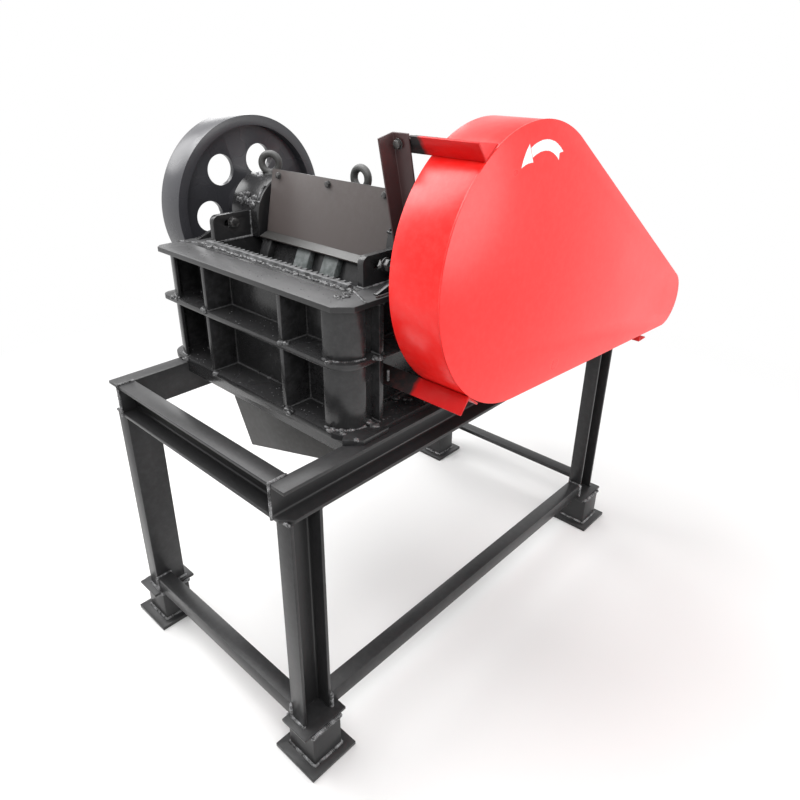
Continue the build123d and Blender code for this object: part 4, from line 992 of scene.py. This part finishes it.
def round_shaft(bearing, radius, y):
    """The place at a bearing and a radius about the shaft, and the way out to it."""
    way = Vector((math.cos(math.radians(bearing)), 0, math.sin(math.radians(bearing))))
    return SHAFT + way * radius + ALONG_Y * y, way


def rib_runs(free, fixed, thickness, foot, top):
    """Paths on both faces of an upright plate, along its foot, its top and the wall behind it."""
    way = (Vector(fixed) - Vector(free)).normalized()
    side = Vector((-way.y, way.x)) * thickness / 2
    paths = []
    for sign in (1, -1):
        start = (Vector(free) + side * sign).to_3d()
        end = (Vector(fixed) + side * sign).to_3d()
        paths += [(start + UP * foot, end + UP * foot), (start + UP * top, end + UP * top),
                  (end + UP * foot, end + UP * top)]
    return paths


def lumps(rng, place, spread, count, size):
    """Lumps of weld metal strewn about a place."""
    made = []
    for _ in range(count):
        shift = Vector([rng.uniform(-1, 1) * reach for reach in spread])
        lump_size = size * rng.uniform(*LUMP_RANGE)
        made.append(placed("lump", lump_size, Vector(place) + shift, turn=rng.uniform(*TURNS)))
    return made


def housing_lumps(rng):
    """Lumps on the front of the far bearing housing, where its block was built up by weld."""
    made = []
    for _ in range(HOUSING_LUMPS):
        bearing = rng.uniform(*HOUSING_LUMP_ANGLES)
        place, way = round_shaft(bearing, HOUSING_RADIUS, rng.uniform(*HOUSING_LUMP_REACH))
        size = HOUSING_LUMP_SIZE * rng.uniform(*LUMP_RANGE)
        made.append(placed("lump", size, place, way, rng.uniform(*TURNS)))
    return made


def drops(rng, low_corner, high_corner, count):
    """Spatter strewn over a level face."""
    made = []
    for _ in range(count):
        place = [rng.uniform(a, b) for a, b in zip(low_corner, high_corner)]
        made.append(placed("drop", rng.uniform(*DROP_SIZES), place, turn=rng.uniform(*TURNS)))
    return made


def roughened(piece, strength, grain):
    """Makes a weld uneven, by a grain in its own mesh."""
    cloud = bpy.data.textures.new(piece.name + "_grain", "CLOUDS")
    cloud.noise_scale = grain
    cloud.noise_depth = 2
    finish_with(piece, "DISPLACE", texture=cloud, texture_coords="LOCAL", strength=strength, mid_level=0.5)
    shade(piece)


def welded(name, runs, finish):
    """Joins weld runs into one uneven piece."""
    roughened(joined(name, runs, finish), RUN_ROUGHNESS, RUN_GRAIN)


def wall_paths():
    """Joints between the walls and the stiffening plates."""
    paths = []
    for height in (BASE_TOP, MIDDLE_FOOT, MIDDLE_TOP, TOP_FOOT):
        rear = WALL_REAR if height < TOP_FOOT else HOUSING_FRONT
        paths += level(height, (WALL_FRONT, SIDE_NEAR), (WALL_FRONT, SIDE_FAR), (rear, SIDE_FAR))
        paths += level(height, (WALL_FRONT, SIDE_NEAR), (rear, SIDE_NEAR))
        if height < TOP_FOOT:
            paths += level(height, (WALL_REAR, SIDE_NEAR), (WALL_REAR, SIDE_FAR))
    return paths


def rib_paths():
    """Joints of the upright plates in both bays."""
    paths = []
    for foot, top in BAYS:
        for place in RIB_PLACES:
            paths += rib_runs((low("front_ribs").x, place), (WALL_FRONT, place), PLATE, foot, top)
        for place in FLANGE_PLACES:
            for free, fixed in ((low("side_flanges").y, SIDE_NEAR), (high("side_flanges").y, SIDE_FAR)):
                paths += rib_runs((place, free), (place, fixed), PLATE, foot, top)
    for place in RIB_PLACES:
        paths += rib_runs((high("rear_ribs").x, place), (WALL_REAR, place), PLATE, BASE_TOP, MIDDLE_FOOT)
    return paths


def column_paths():
    """Joints round the corner columns, and the upright seam at each column's end."""
    paths = []
    for foot, top in BAYS:
        for x, y, side in COLUMNS:
            for height in (foot, top):
                paths.append(arc((x, y, height), COLUMN_RADIUS, 180, 180 - side * 90))
            end = y + side * (COLUMN_RADIUS - SEAM_INSET)
            heights = [foot + (top - foot) * step / SEAM_STEPS for step in range(SEAM_STEPS + 1)]
            paths.append([Vector((x + SEAM_WANDER * math.sin(height * SEAM_WAVES), end, height))
                          for height in heights])
    return paths + [upright(*FLANGE_BEAD)]


def top_paths():
    """Joints on the top plate: along the jaw plate, round the cheeks and across both ends."""
    cheek_front = low("cheek_liners").x + CHEEK_FROM_LINER
    seam_x = high("front_wall").x
    paths = level(TOP, (seam_x, SIDE_NEAR), (seam_x, SIDE_FAR))
    for side, outwards in ((SIDE_NEAR, -1), (SIDE_FAR, 1)):
        inner = side - outwards * SIDE_PLATE
        front, rear = (cheek_front, side), (HOUSING_FRONT, side)
        paths += level(TOP, front, rear) + level(TOP, front, (cheek_front, inner), (HOUSING_FRONT, inner))
        paths += [upright(HOUSING_FRONT, y, TOP, CHEEK_TOP) for y in (side, inner)]
        paths += level(TOP, rear, (HOUSING_FRONT, side + outwards * HOUSING_REACH))
        paths += level(TOP, (seam_x, side), (seam_x + END_SEAM_SLANT, side + outwards * SIDE_REACH))
    return paths


def housing_paths(node, outwards):
    """Seams on a bearing housing: across its front below the cap, and down beside its inner edge."""
    inner = low(node).y if outwards > 0 else high(node).y
    across = [round_shaft(HOUSING_SEAM, HOUSING_RADIUS, inner + reach)[0]
              for reach in (0, outwards * HOUSING_SEAM_LENGTH)]
    down = [round_shaft(angle, HOUSING_RADIUS + HOUSING_SEAM_PROUD, inner + outwards * HOUSING_SEAM_INSET)[0]
            for angle in range(HOUSING_SEAM, HOUSING_SEAM - HOUSING_SEAM_SWEEP, -4)]
    return [across, down]


def stand_paths():
    """Joints of the feet, legs, rails and beams of the stand."""
    paths = []
    for node in STAND_NODES:
        x0, y0, z0 = low(node)
        x1, y1, z1 = high(node)
        kind = node.split("_")[0]
        if kind == "foot":
            x, y = (x0 + x1) / 2, (y0 + y1) / 2
            left, right, front, back = x - STUB[0], x + STUB[0], y - STUB[1], y + STUB[1]
            for height in (z0 + FOOT_PLATE, z1 - CAP_PLATE):
                paths += level(height, (left, front), (right, front), (right, back), (left, back),
                               (left, front))
        elif kind == "leg":
            web, toe = (y1, y0) if node.endswith("near") else (y0, y1)
            for height in (z0, z1):
                paths += level(height, (x0, web), (x1, web), (x1, toe)) + level(height, (x0, web), (x0, toe))
        elif kind in ("tie", "motor"):
            lengthwise = x1 - x0 > y1 - y0
            for end in (x0, x1) if lengthwise else (y0, y1):
                corners = ((end, y0), (end, y1)) if lengthwise else ((x0, end), (x1, end))
                paths += level(z1, *corners) + [upright(*corners[0], z0, z1)]
        elif node in ("beam_front", "beam_rear"):
            outer = x0 if node == "beam_front" else x1
            for end in (y0, y1):
                paths += level(z1, (x0, end), (x1, end)) + [upright(outer, end, z0, z1)]
    return paths


def bracket_paths():
    """Joints of the guard's lower bracket and of its post."""
    foot_low, foot_high = low("guard_bracket"), high("guard_bracket")
    post_low, post_high = low("guard_post"), high("guard_post")
    paths = level(foot_high.z, (foot_low.x, SIDE_NEAR), (foot_high.x, SIDE_NEAR))
    for y in (post_low.y, post_high.y):
        paths += level(post_low.z, (post_low.x, y), (post_high.x, y))
    return paths


# Operators, one for each group of pieces

class CRUSHER_OT_mix_paints(bpy.types.Operator):
    """Makes the paints and the other finishes"""
    bl_idname = "crusher.mix_paints"
    bl_label = "Mix Paints"

    def execute(self, context):
        make_finishes()
        return {"FINISHED"}


class CRUSHER_OT_round_steelwork(bpy.types.Operator):
    """Rounds the edges of the stand, the body and the machine's parts, and paints them"""
    bl_idname = "crusher.round_steelwork"
    bl_label = "Round Steelwork"

    def execute(self, context):
        sheet = context.scene.crusher_steel.sheet_edge
        coats = (("Stand Paint", STAND_NODES, None), ("Black Gloss Paint", PLATE_NODES, None),
                 ("Chute Paint", ["discharge_chute"], None), ("Plate Paint", ["top_stiffener"], None),
                 ("Post Paint", ["guard_post"], None),
                 ("Bracket Red", ["guard_arm", "guard_bracket", "rear_bracket"], None),
                 ("Cover Paint", ["cover_plate"], sheet),
                 ("Jaw Plate Skin", ["fixed_jaw_plate", "swing_jaw_plate", "cheek_liners"], sheet),
                 ("Clamp Grey", ["jaw_clamp_blocks"], CLAMP_EDGE),
                 ("Bare Steel", ["eccentric_shaft", "tension_rod"], sheet),
                 ("Wheel Paint", ["driven_wheel", "motor_pulley"], None),
                 ("Motor Paint", ["motor"], sheet), ("Rubber", ["drive_belts"], sheet))
        pieces = {node: dressed(node, finish, edge) for finish, nodes, edge in coats for node in nodes}
        # The lip faces get the darker painted shade.
        recoat(pieces["cover_plate"], "Lip Painted Shade",
               lambda place, normal: normal.x < LIP_FACING[0] and normal.z > LIP_FACING[1])
        recoat(pieces["jaw_clamp_blocks"], "Black Gloss Paint", lambda place, normal: place.y > DARK_CLAMP)
        return {"FINISHED"}


class CRUSHER_OT_weld_body(bpy.types.Operator):
    """Lays the weld runs and lumps on the crusher's body"""
    bl_idname = "crusher.weld_body"
    bl_label = "Weld Body"

    def execute(self, context):
        size = context.scene.crusher_steel.weld
        rng = random.Random(SEED)
        cast_moulds("ripple", "lump", "drop")
        housings = housing_paths(HOUSINGS[0], -1) + housing_paths(HOUSINGS[1], 1)
        for name, paths, finish in (("wall_welds", wall_paths(), "Black Gloss Paint"),
                                    ("rib_welds", rib_paths(), "Black Gloss Paint"),
                                    ("column_welds", column_paths(), "Weld Paint"),
                                    ("top_welds", top_paths() + housings, "Weld Paint")):
            welded(name, [along(path, size) for path in paths], finish)
        heaps = []
        for place, spread, count, lump_size in LUMPS:
            heaps += lumps(rng, place, spread, count, lump_size)
        for step in range(TOOTH_LUMPS):
            reach = SIDE_NEAR + (SIDE_FAR - SIDE_NEAR) * (step + 0.5) / TOOTH_LUMPS
            place = (high("front_wall").x - TOOTH_LUMP_INSET, reach, TOP)
            heaps += lumps(rng, place, TOOTH_LUMP_SPREAD, TOOTH_LUMP_COUNT, TOOTH_LUMP_SIZE)
        heaps += housing_lumps(rng)
        roughened(joined("weld_lumps", heaps, "Weld Paint"), LUMP_ROUGHNESS, LUMP_GRAIN)
        spatter = []
        for x0, x1, y0, y1, height, count in SPATTER:
            spatter += drops(rng, (x0, y0, height), (x1, y1, height), count)
        joined("spatter", spatter, "Weld Paint")
        clear_moulds()
        return {"FINISHED"}


class CRUSHER_OT_weld_stand(bpy.types.Operator):
    """Lays the weld runs on the stand and on the guard's brackets"""
    bl_idname = "crusher.weld_stand"
    bl_label = "Weld Stand"

    def execute(self, context):
        size = context.scene.crusher_steel.stand_weld
        cast_moulds("ripple")
        runs = [along(path, size * FOOT_WELD if path[0].z < FOOT_TOP else size) for path in stand_paths()]
        welded("stand_welds", runs, "Weld Paint")
        runs = [along(path, size) for path in bracket_paths()]
        welded("bracket_welds", runs, "Bracket Red")
        clear_moulds()
        return {"FINISHED"}


def fastened(name, mould, size, spots, finish="Bolt Paint", body="frame"):
    """Copies of a fastener at their places, as one piece."""
    pieces = [placed(mould, size, place, Vector(axis), turn) for place, axis, turn in spots]
    joined(name, pieces, finish, body)


def ring_spots(centre, radius, count, axis, start=0.0):
    """Places on a circle about an axis along Y."""
    spots = []
    for step in range(count):
        angle = math.radians(start + 360 * step / count)
        place = (centre[0] + radius * math.cos(angle), centre[1], centre[2] + radius * math.sin(angle))
        spots.append((place, axis, angle))
    return spots


class CRUSHER_OT_fit_fasteners(bpy.types.Operator):
    """Puts in the bolts, nuts and grease nipples"""
    bl_idname = "crusher.fit_fasteners"
    bl_label = "Fit Fasteners"

    def execute(self, context):
        steel = context.scene.crusher_steel
        cast_moulds("bolt", "nut", "nipple")
        near_x, near_z = NEAR_SLOT_BOLT
        far_x, far_z = FAR_SLOT_BOLT
        fastened("cheek_nuts", "nut", steel.slot_bolt,
                 (((near_x, SIDE_NEAR - SLOT_PLATE, near_z), -ALONG_Y, SLOT_NUT_TURNS[0]),
                  ((far_x, SIDE_FAR + SLOT_PLATE, far_z), ALONG_Y, SLOT_NUT_TURNS[1])))
        fastened("cheek_bolts", "bolt", steel.slot_bolt,
                 (((near_x, high("side_plate_near").y, near_z), ALONG_Y, SLOT_BOLT_TURNS[0]),
                  ((far_x, low("side_plate_far").y, far_z), -ALONG_Y, SLOT_BOLT_TURNS[1])))
        lean = math.radians(POST_LEAN)
        fastened("post_bolt", "bolt", steel.post_bolt,
                 ((POST_BOLT, (-math.cos(lean), 0, -math.sin(lean)), POST_BOLT_TURN),))
        cover = [((COVER_BOLT[0], y, COVER_BOLT[1]), COVER_NORMAL, COVER_BOLT_TURN * y)
                 for y in COVER_BOLT_PLACES]
        fastened("cover_bolts", "bolt", steel.small_bolt, cover, body="jaw")
        caps = []
        for face, way in ((low(HOUSINGS[0]).y, -ALONG_Y), (high(HOUSINGS[1]).y, ALONG_Y)):
            caps += ring_spots((SHAFT.x, face, SHAFT.z), CAP_CIRCLE, CAP_BOLTS, way, CAP_START)
        fastened("cap_bolts", "bolt", steel.small_bolt, caps)
        nipples = [(*round_shaft(NIPPLE_BEARING, HOUSING_RADIUS, middle(node).y), 0.0) for node in HOUSINGS]
        fastened("grease_nipples", "nipple", NIPPLE_SIZE, nipples, "Bare Steel")
        feet = [((MOTOR_AXIS.x + side * MOTOR_FOOT_X, y, MOTOR_FOOT_TOP), UP, MOTOR_FOOT_TURN * side)
                for side in (-1, 1) for y in MOTOR_FOOT_Y]
        fastened("motor_foot_bolts", "bolt", steel.motor_bolt, feet)
        shield = ring_spots((MOTOR_AXIS.x, MOTOR_SHIELD_Y, MOTOR_AXIS.z), MOTOR_SHIELD_CIRCLE,
                            MOTOR_SHIELD_BOLTS, -ALONG_Y, MOTOR_SHIELD_START)
        fastened("shield_bolts", "bolt", steel.small_bolt, shield)
        clear_moulds()
        return {"FINISHED"}


class CRUSHER_OT_cast_flywheel(bpy.types.Operator):
    """Models the flywheel with its rim, web, hub and holes"""
    bl_idname = "crusher.cast_flywheel"
    bl_label = "Cast Flywheel"

    def execute(self, context):
        radius = high("flywheel").x - SHAFT.x
        far = high("flywheel").y
        near = far - RIM_WIDTH
        middle_place = (SHAFT.x, (near + far) / 2, SHAFT.z)
        wheel = cylinder(radius, RIM_WIDTH, middle_place, ALONG_Y, WHEEL_SIDES)
        edit(wheel)
        for sign, depth, hub in ((-1, WEB_DEPTH_NEAR, WEB_DEPTH_NEAR + near - low("flywheel").y),
                                 (1, WEB_DEPTH_FAR, WEB_DEPTH_FAR)):
            choose_faces(wheel, lambda place, normal: normal.y * sign > SQUARE
                         and abs(place.x - SHAFT.x) < ON_AXIS)
            bpy.ops.mesh.inset(thickness=RIM_THICKNESS)
            push((0, -sign * depth, 0))
            bpy.ops.mesh.inset(thickness=radius - RIM_THICKNESS - HUB_RADIUS)
            push((0, sign * hub, 0))
            bpy.ops.mesh.inset(thickness=HUB_RADIUS - BORE_RADIUS)
            bpy.ops.mesh.delete(type="FACE")
        bpy.context.tool_settings.mesh_select_mode = (False, True, False)
        bpy.ops.mesh.select_all(action="DESELECT")
        bpy.ops.mesh.select_non_manifold()
        bpy.ops.mesh.bridge_edge_loops()
        turn_outwards()
        pick(wheel)
        spots = ring_spots(middle_place, HOLE_CIRCLE, HOLES, ALONG_Y, HOLE_START)
        drill = merge(*[cylinder(HOLE_RADIUS, RIM_WIDTH * 2, spot[0], ALONG_Y, HOLE_SIDES) for spot in spots])
        finish_with(wheel, "BOOLEAN", object=drill, operation="DIFFERENCE", solver="EXACT")
        bpy.data.objects.remove(drill)
        round_edges(wheel, context.scene.crusher_steel.cast_edge, 3)
        wheel.name = "flywheel_casting"
        coat(wheel, "Wheel Paint")
        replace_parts(wheel, "flywheel")
        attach(wheel, "rotor")
        return {"FINISHED"}


def guard_outline(shrink, y):
    """A flat face in the guard's shape: a circle with its far part drawn small at the motor."""
    large = high("belt_guard").z - SHAFT.z - shrink
    small = GUARD_TAIL_RADIUS - shrink
    centre = Vector((SHAFT.x, y, SHAFT.z))
    tail = Vector((high("belt_guard").x - GUARD_TAIL_RADIUS, y, low("belt_guard").z + GUARD_TAIL_RADIUS))
    way = (tail - centre).normalized()
    reach = (large - small) / (tail - centre).length
    bpy.ops.mesh.primitive_circle_add(
        vertices=GUARD_POINTS, radius=large, fill_type="NGON", location=centre,
        rotation=(math.radians(90), 0, 0))
    outline = settle(bpy.context.active_object)
    edit(outline)
    choose(outline, "VERT", lambda point: (point.co - centre).dot(way) / large >= reach)
    scale = small / large
    bpy.ops.transform.resize(value=(scale, scale, scale), center_override=centre)
    bpy.ops.transform.translate(value=tail - centre)
    return outline


class CRUSHER_OT_form_guard(bpy.types.Operator):
    """Models the belt guard from a face plate, a rim and the seam that joins them"""
    bl_idname = "crusher.form_guard"
    bl_label = "Form Guard"

    def execute(self, context):
        steel = context.scene.crusher_steel
        face = guard_outline(0, GUARD_FACE)
        choose_all()
        push((0, GUARD_SHEET, 0))
        turn_outwards()
        round_edges(face, steel.sheet_edge)

        rim = guard_outline(RIM_INSET, GUARD_FACE + GUARD_SHEET)
        choose_all()
        push((0, GUARD_BACK - GUARD_FACE - GUARD_SHEET, 0))
        turn_outwards()
        choose_faces(rim, lambda place, normal: abs(normal.y) > SQUARE)
        bpy.ops.mesh.delete(type="FACE")
        finish_with(rim, "SOLIDIFY", thickness=GUARD_SHEET, offset=-1)
        round_edges(rim, steel.sheet_edge, angle=60)

        seam = guard_outline(steel.guard_weld, GUARD_FACE + GUARD_SHEET)
        choose_all()
        bpy.ops.mesh.delete(type="ONLY_FACE")
        pick(seam)
        bpy.ops.object.convert(target="CURVE")
        seam.data.bevel_depth = steel.guard_weld
        seam.data.bevel_resolution = 1
        bpy.ops.object.convert(target="MESH")
        smooth(seam, 60)

        shell = joined("guard_shell", [face, rim, seam], "Guard Red")
        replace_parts(shell, "belt_guard")
        return {"FINISHED"}


def eye(place, turn, foot):
    """A forged lifting eye: a ring on its neck and collar, run together."""
    ring = torus(EYE_RING, EYE_WIRE, place, (0, math.radians(90), math.radians(turn)), across=18)

    def post(radius, foot_z, top_z):
        return cylinder(radius, top_z - foot_z, (place.x, place.y, (top_z + foot_z) / 2))

    neck = post(EYE_NECK, EYE_FOOT, place.z - EYE_RING)
    edit(neck)
    choose_faces(neck, lambda middle_of, normal: normal.z < -SQUARE)
    bpy.ops.transform.resize(value=(EYE_NECK_FLARE, EYE_NECK_FLARE, 1))
    pick(neck)
    pieces = [ring, neck, post(EYE_COLLAR, EYE_FOOT, EYE_FOOT + EYE_COLLAR_DEPTH)]
    if foot < EYE_FOOT:
        pieces.append(post(EYE_BOSS, foot, EYE_FOOT))
    merge(*pieces)
    finish_with(ring, "REMESH", mode="VOXEL", voxel_size=EYE_VOXEL)
    finish_with(ring, "SMOOTH", factor=0.5, iterations=3)
    return shade(ring)


class CRUSHER_OT_forge_eyes(bpy.types.Operator):
    """Models the three lifting eyes"""
    bl_idname = "crusher.forge_eyes"
    bl_label = "Forge Eyes"

    def execute(self, context):
        pair = [eye(Vector((SHAFT.x, middle(node).y, EYE_HEIGHT)), EYE_TURN, EYE_FOOT) for node in HOUSINGS]
        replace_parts(joined("housing_eyes", pair, "Forged Eye"), "lifting_eyes")
        single = eye(Vector((SHAFT.x, middle("lifting_eye_jaw").y, EYE_HEIGHT)), 0, low("lifting_eye_jaw").z)
        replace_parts(joined("jaw_eye", [single], "Forged Eye", "jaw"), "lifting_eye_jaw")
        return {"FINISHED"}


class CRUSHER_OT_wind_spring(bpy.types.Operator):
    """Winds the tension spring on the rod behind the swing jaw"""
    bl_idname = "crusher.wind_spring"
    bl_label = "Wind Spring"

    def execute(self, context):
        wire = context.scene.crusher_steel.spring_wire
        bpy.ops.mesh.primitive_circle_add(vertices=10, radius=wire, location=(0, SPRING_RADIUS, 0))
        spring = settle(context.active_object)
        finish_with(spring, "SCREW", axis="X", angle=math.tau, steps=28, render_steps=28,
                    iterations=SPRING_TURNS, screw_offset=SPRING_LENGTH / SPRING_TURNS)
        edit(spring)
        choose_all()
        bpy.ops.mesh.remove_doubles(threshold=MERGE_REACH)
        bpy.ops.mesh.fill_holes(sides=0)
        turn_outwards()
        pick(spring)
        rod = middle("tension_rod")
        spring.location = (high("tension_rod").x - SPRING_END - SPRING_LENGTH, rod.y, rod.z)
        settle(spring)
        smooth(spring, 60)
        joined("tension_spring", [spring], "Bare Steel", "jaw")
        return {"FINISHED"}


class CRUSHER_OT_detail_motor(bpy.types.Operator):
    """Adds the terminal box lid and the fan grille to the motor"""
    bl_idname = "crusher.detail_motor"
    bl_label = "Detail Motor"

    def execute(self, context):
        y0, y1 = LID_Y
        bpy.ops.mesh.primitive_cube_add(
            size=1, location=(MOTOR_AXIS.x, (y0 + y1) / 2, high("motor").z - LID_DEPTH / 2))
        lid = context.active_object
        lid.scale = (LID_HALF * 2, y1 - y0, LID_DEPTH)
        settle(lid)
        edit(lid)
        choose_faces(lid, looks_up)
        bpy.ops.mesh.inset(thickness=LID_INSET)
        push((0, 0, -LID_STEP))
        round_edges(lid, LID_EDGE, 3)
        pitch = GRILLE_RADIUS / (GRILLE_RINGS + GRILLE_GAP)
        grille = merge(*[torus(pitch * (step + 1), GRILLE_WIRE, MOTOR_AXIS + ALONG_Y * high("motor").y,
                               (math.radians(90), 0, 0)) for step in range(GRILLE_RINGS)])
        smooth(grille)
        joined("motor_details", [lid, grille], "Motor Paint")
        return {"FINISHED"}


def lay_floor():
    """White floor that fades into even white away from the crusher."""
    bpy.ops.mesh.primitive_plane_add(size=FLOOR_SIZE, location=(0, 0, -FLOOR_DROP))
    floor = settle(bpy.context.active_object)
    floor.name = "floor"
    shader = new_finish("Studio Floor")
    reach = shader.add("ShaderNodeVectorMath", {0: shader.place()}, operation="LENGTH")
    away = shader.times(shader.span(reach.outputs["Value"], *FLOOR_REACH), shader.seen())
    matt = shader.add("ShaderNodeBsdfPrincipled", {"Base Color": (0.9, 0.895, 0.89), "Roughness": 0.6})
    glow = shader.add("ShaderNodeEmission", {"Color": (1, 1, 1), "Strength": 1.0})
    blend = shader.add("ShaderNodeMixShader", {"Fac": away, 1: matt.outputs[0], 2: glow.outputs[0]})
    shader.add("ShaderNodeOutputMaterial", {"Surface": blend.outputs[0]})
    coat(floor, "Studio Floor")


def light_room(scene, strength):
    """Even white light all round, and pure white where the camera sees the room."""
    world = bpy.data.worlds.new("Studio Room")
    scene.world = world
    world.use_nodes = True
    world.node_tree.nodes.clear()
    room = Shader(world.node_tree)
    even = room.add("ShaderNodeBackground", {"Color": (1, 1, 1), "Strength": strength})
    white = room.add("ShaderNodeBackground", {"Color": (1, 1, 1), "Strength": 1.0})
    blend = room.add("ShaderNodeMixShader", {"Fac": room.seen(), 1: even.outputs[0], 2: white.outputs[0]})
    room.add("ShaderNodeOutputWorld", {"Surface": blend.outputs[0]})


class CRUSHER_OT_set_stage(bpy.types.Operator):
    """Sets the floor, the lamps, the room and the camera"""
    bl_idname = "crusher.set_stage"
    bl_label = "Set Stage"

    def execute(self, context):
        stage = context.scene.crusher_stage
        lay_floor()
        for name, place_at, size, share in LAMPS:
            bpy.ops.object.light_add(type="AREA", location=place_at)
            lamp = context.active_object
            lamp.name = name
            lamp.data.shape = "DISK"
            lamp.data.size = size
            lamp.data.energy = stage.lamp_power * share
            lamp.rotation_euler = (LAMP_AIM - Vector(place_at)).to_track_quat("-Z", "Y").to_euler()
        light_room(context.scene, stage.room_light)
        bpy.ops.object.camera_add(location=stage.camera_place)
        camera = context.active_object
        tilt, roll, heading = stage.camera_turn
        camera.matrix_world = (Matrix.Translation(stage.camera_place) @ Matrix.Rotation(heading, 4, "Z")
                               @ Matrix.Rotation(tilt, 4, "X") @ Matrix.Rotation(roll, 4, "Z"))
        camera.data.lens = stage.lens
        camera.data.sensor_width = SENSOR_WIDTH
        camera.data.shift_x, camera.data.shift_y = stage.shift
        camera.data.clip_start = 0.02
        context.scene.camera = camera
        context.scene.view_settings.view_transform = "Standard"
        return {"FINISHED"}


class CRUSHER_PT_panel(bpy.types.Panel):
    """The steps that finish the crusher"""
    bl_idname = "CRUSHER_PT_panel"
    bl_label = "Crusher"
    bl_space_type = "VIEW_3D"
    bl_region_type = "UI"
    bl_category = "Crusher"

    def draw(self, context):
        for group in (context.scene.crusher_paint, context.scene.crusher_steel, context.scene.crusher_stage):
            box = self.layout.box()
            for name in group.bl_rna.properties.keys():
                if name not in ("rna_type", "name"):
                    box.prop(group, name)
        for step in STEPS:
            self.layout.operator(step.bl_idname)


STEPS = (CRUSHER_OT_mix_paints, CRUSHER_OT_round_steelwork, CRUSHER_OT_weld_body, CRUSHER_OT_weld_stand,
         CRUSHER_OT_fit_fasteners, CRUSHER_OT_cast_flywheel, CRUSHER_OT_form_guard, CRUSHER_OT_forge_eyes,
         CRUSHER_OT_wind_spring, CRUSHER_OT_detail_motor, CRUSHER_OT_set_stage)
GROUPS = (("crusher_paint", CrusherPaint), ("crusher_steel", CrusherSteel), ("crusher_stage", CrusherStage))


def register():
    for name, group in GROUPS:
        bpy.utils.register_class(group)
        setattr(bpy.types.Scene, name, bpy.props.PointerProperty(type=group))
    for step in STEPS:
        bpy.utils.register_class(step)
    bpy.utils.register_class(CRUSHER_PT_panel)


def unregister():
    bpy.utils.unregister_class(CRUSHER_PT_panel)
    for step in reversed(STEPS):
        bpy.utils.unregister_class(step)
    for name, group in reversed(GROUPS):
        delattr(bpy.types.Scene, name)
        bpy.utils.unregister_class(group)


def main():
    """Runs every step in order."""
    register()
    for step in STEPS:
        category, name = step.bl_idname.split(".")
        getattr(getattr(bpy.ops, category), name)()


if __name__ == "__main__":
    main()
